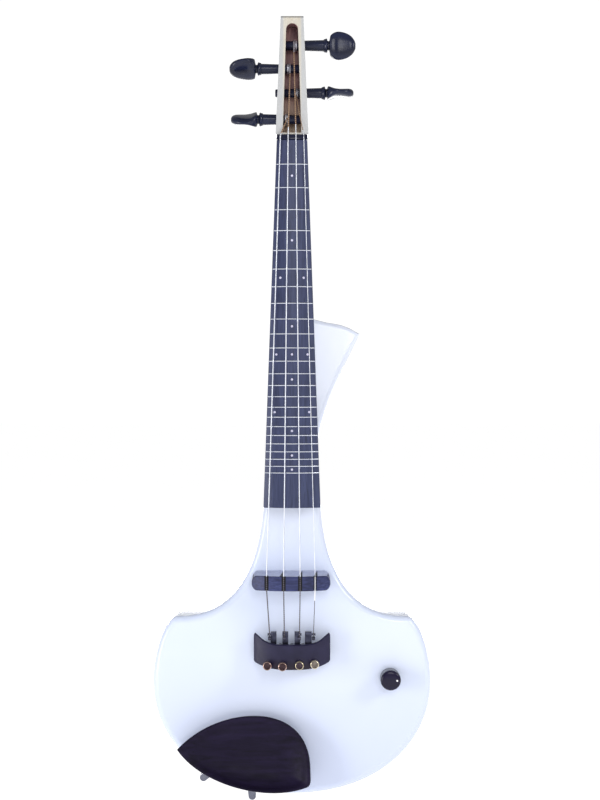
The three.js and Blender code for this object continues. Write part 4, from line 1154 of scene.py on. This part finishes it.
def make_clamp(looks):
    bracket = shell_of("clamp_bracket", "clamp_bracket_plate", 35)
    bracket.data.materials.append(looks["chrome"])

    def on_bracket_cork(u, v, w):
        return (FRONT_CORK[0] < w < FRONT_CORK[1] or w > REST_CORK) and v > CORK_INSIDE
    zone(bracket, looks["cork"], on_bracket_cork)
    settle(bracket, None, stands_for=["clamp_bracket"])
    foot = shell_of("clamp_foot", "clamp_foot_plate", 35)
    foot.data.materials.append(looks["chrome"])
    zone(foot, looks["cork"], lambda u, v, w: FOOT_CORK[0] < w < FOOT_CORK[1] and v > CORK_INSIDE)
    settle(foot, None, "foot", ["clamp_foot"])
    for side in ("left", "right"):
        barrel = shell_of(f"clamp_barrel_{side}", f"barrel_{side}", 40, 0.15)
        settle(barrel, looks["chrome"], f"{side}_barrel", [f"clamp_barrel_{side}"])


# ---- stage ---------------------------------------------------------------------------
FLOOR_HALF = 30.0
FLOOR_DROP = 0.12           # metres below the part
FLOOR_GLOW = 0.6
WORLD_LIGHT = 0.44          # how strongly the world lights the part
WORLD_SEEN = 1.05           # how bright it looks to the camera
LIGHT_TARGET = (0, 0, 0.15)
# Name, position in metres, size in metres, power in watts.
LIGHTS = (("left_softbox", (-1.4, -0.9, 0.15), (0.5, 0.7), 9),
          ("right_softbox", (1.3, -0.9, 0.8), (0.4, 0.5), 7),
          ("front_softbox", (0.2, -2.1, 0.9), (0.7, 0.7), 8),
          ("back_softbox", (0.0, 1.8, 0.0), (1.6, 0.4), 9))
CAMERA_PLACE = (0.0059, -1.3129, 0.2088)
CAMERA_LENS = 77.27
SENSOR_WIDTH = 36


def make_floor():
    height = CAD_BOX[0].z - FLOOR_DROP
    bm = bmesh.new()
    corners = [(-FLOOR_HALF, -FLOOR_HALF), (FLOOR_HALF, -FLOOR_HALF),
               (FLOOR_HALF, FLOOR_HALF), (-FLOOR_HALF, FLOOR_HALF)]
    bm.faces.new([bm.verts.new((x, y, height)) for x, y in corners])
    floor = finish_mesh("floor", bm)
    shader = Shader("floor_white", Roughness=0.9, Specular_IOR_Level=0.1)
    clouds = shader.noise(3, 3.0)
    shader.colour(shader.mix(shader.span(clouds, 0, 1), (0.9, 0.9, 0.9, 1), (0.92, 0.92, 0.92, 1)))
    shader.bsdf.inputs["Emission Color"].default_value = (1, 1, 1, 1)
    shader.bsdf.inputs["Emission Strength"].default_value = FLOOR_GLOW
    floor.data.materials.append(shader.material)


def area_light(name, position, size, power):
    light = bpy.data.lights.new(name, "AREA")
    light.shape = "RECTANGLE"
    light.size, light.size_y = size
    light.energy = power
    holder = bpy.data.objects.new(name, light)
    bpy.context.scene.collection.objects.link(holder)
    holder.location = position
    aim = Vector(LIGHT_TARGET) - Vector(position)
    holder.rotation_euler = aim.to_track_quat("-Z", "Y").to_euler()


def make_lights():
    for row in LIGHTS:
        area_light(*row)
    world = bpy.data.worlds.new("white_studio")
    bpy.context.scene.world = world
    world.use_nodes = True
    tree = world.node_tree
    seen = tree.nodes.new("ShaderNodeLightPath")
    strength = tree.nodes.new("ShaderNodeMapRange")
    strength.inputs["To Min"].default_value = WORLD_LIGHT
    strength.inputs["To Max"].default_value = WORLD_SEEN
    tree.links.new(seen.outputs["Is Camera Ray"], strength.inputs["Value"])
    background = tree.nodes["Background"]
    background.inputs["Color"].default_value = (1, 1, 1, 1)
    tree.links.new(strength.outputs[0], background.inputs["Strength"])


def make_camera():
    camera = bpy.data.cameras.new("camera")
    camera.sensor_width = SENSOR_WIDTH
    camera.lens = CAMERA_LENS
    camera.clip_start = 0.05
    holder = bpy.data.objects.new("camera", camera)
    bpy.context.scene.collection.objects.link(holder)
    holder.location = CAMERA_PLACE
    holder.rotation_euler = (math.pi / 2, 0, 0)
    bpy.context.scene.camera = holder


def make_everything():
    looks = make_looks()
    make_body(looks)
    make_neck(looks)
    make_board(looks)
    make_inlays(looks)
    for name in STRINGS:
        make_peg(name, looks)
        make_string(name, looks)
        make_lever(name, looks)
        make_tuner_screw(name, looks)
    make_sleeve(looks)
    make_bridge(looks)
    make_tailpiece(looks)
    paint_node("tuner_pivot_pin", looks["steel"])
    make_knob(looks)
    make_jack(looks)
    make_back_cover(looks)
    paint_node("battery", looks["cell"])
    paint_node("preamp_board", looks["circuit"])
    make_chin_rest(looks)
    make_clamp(looks)


make_everything()
make_floor()
make_lights()
make_camera()
bpy.context.scene.view_settings.view_transform = "Standard"
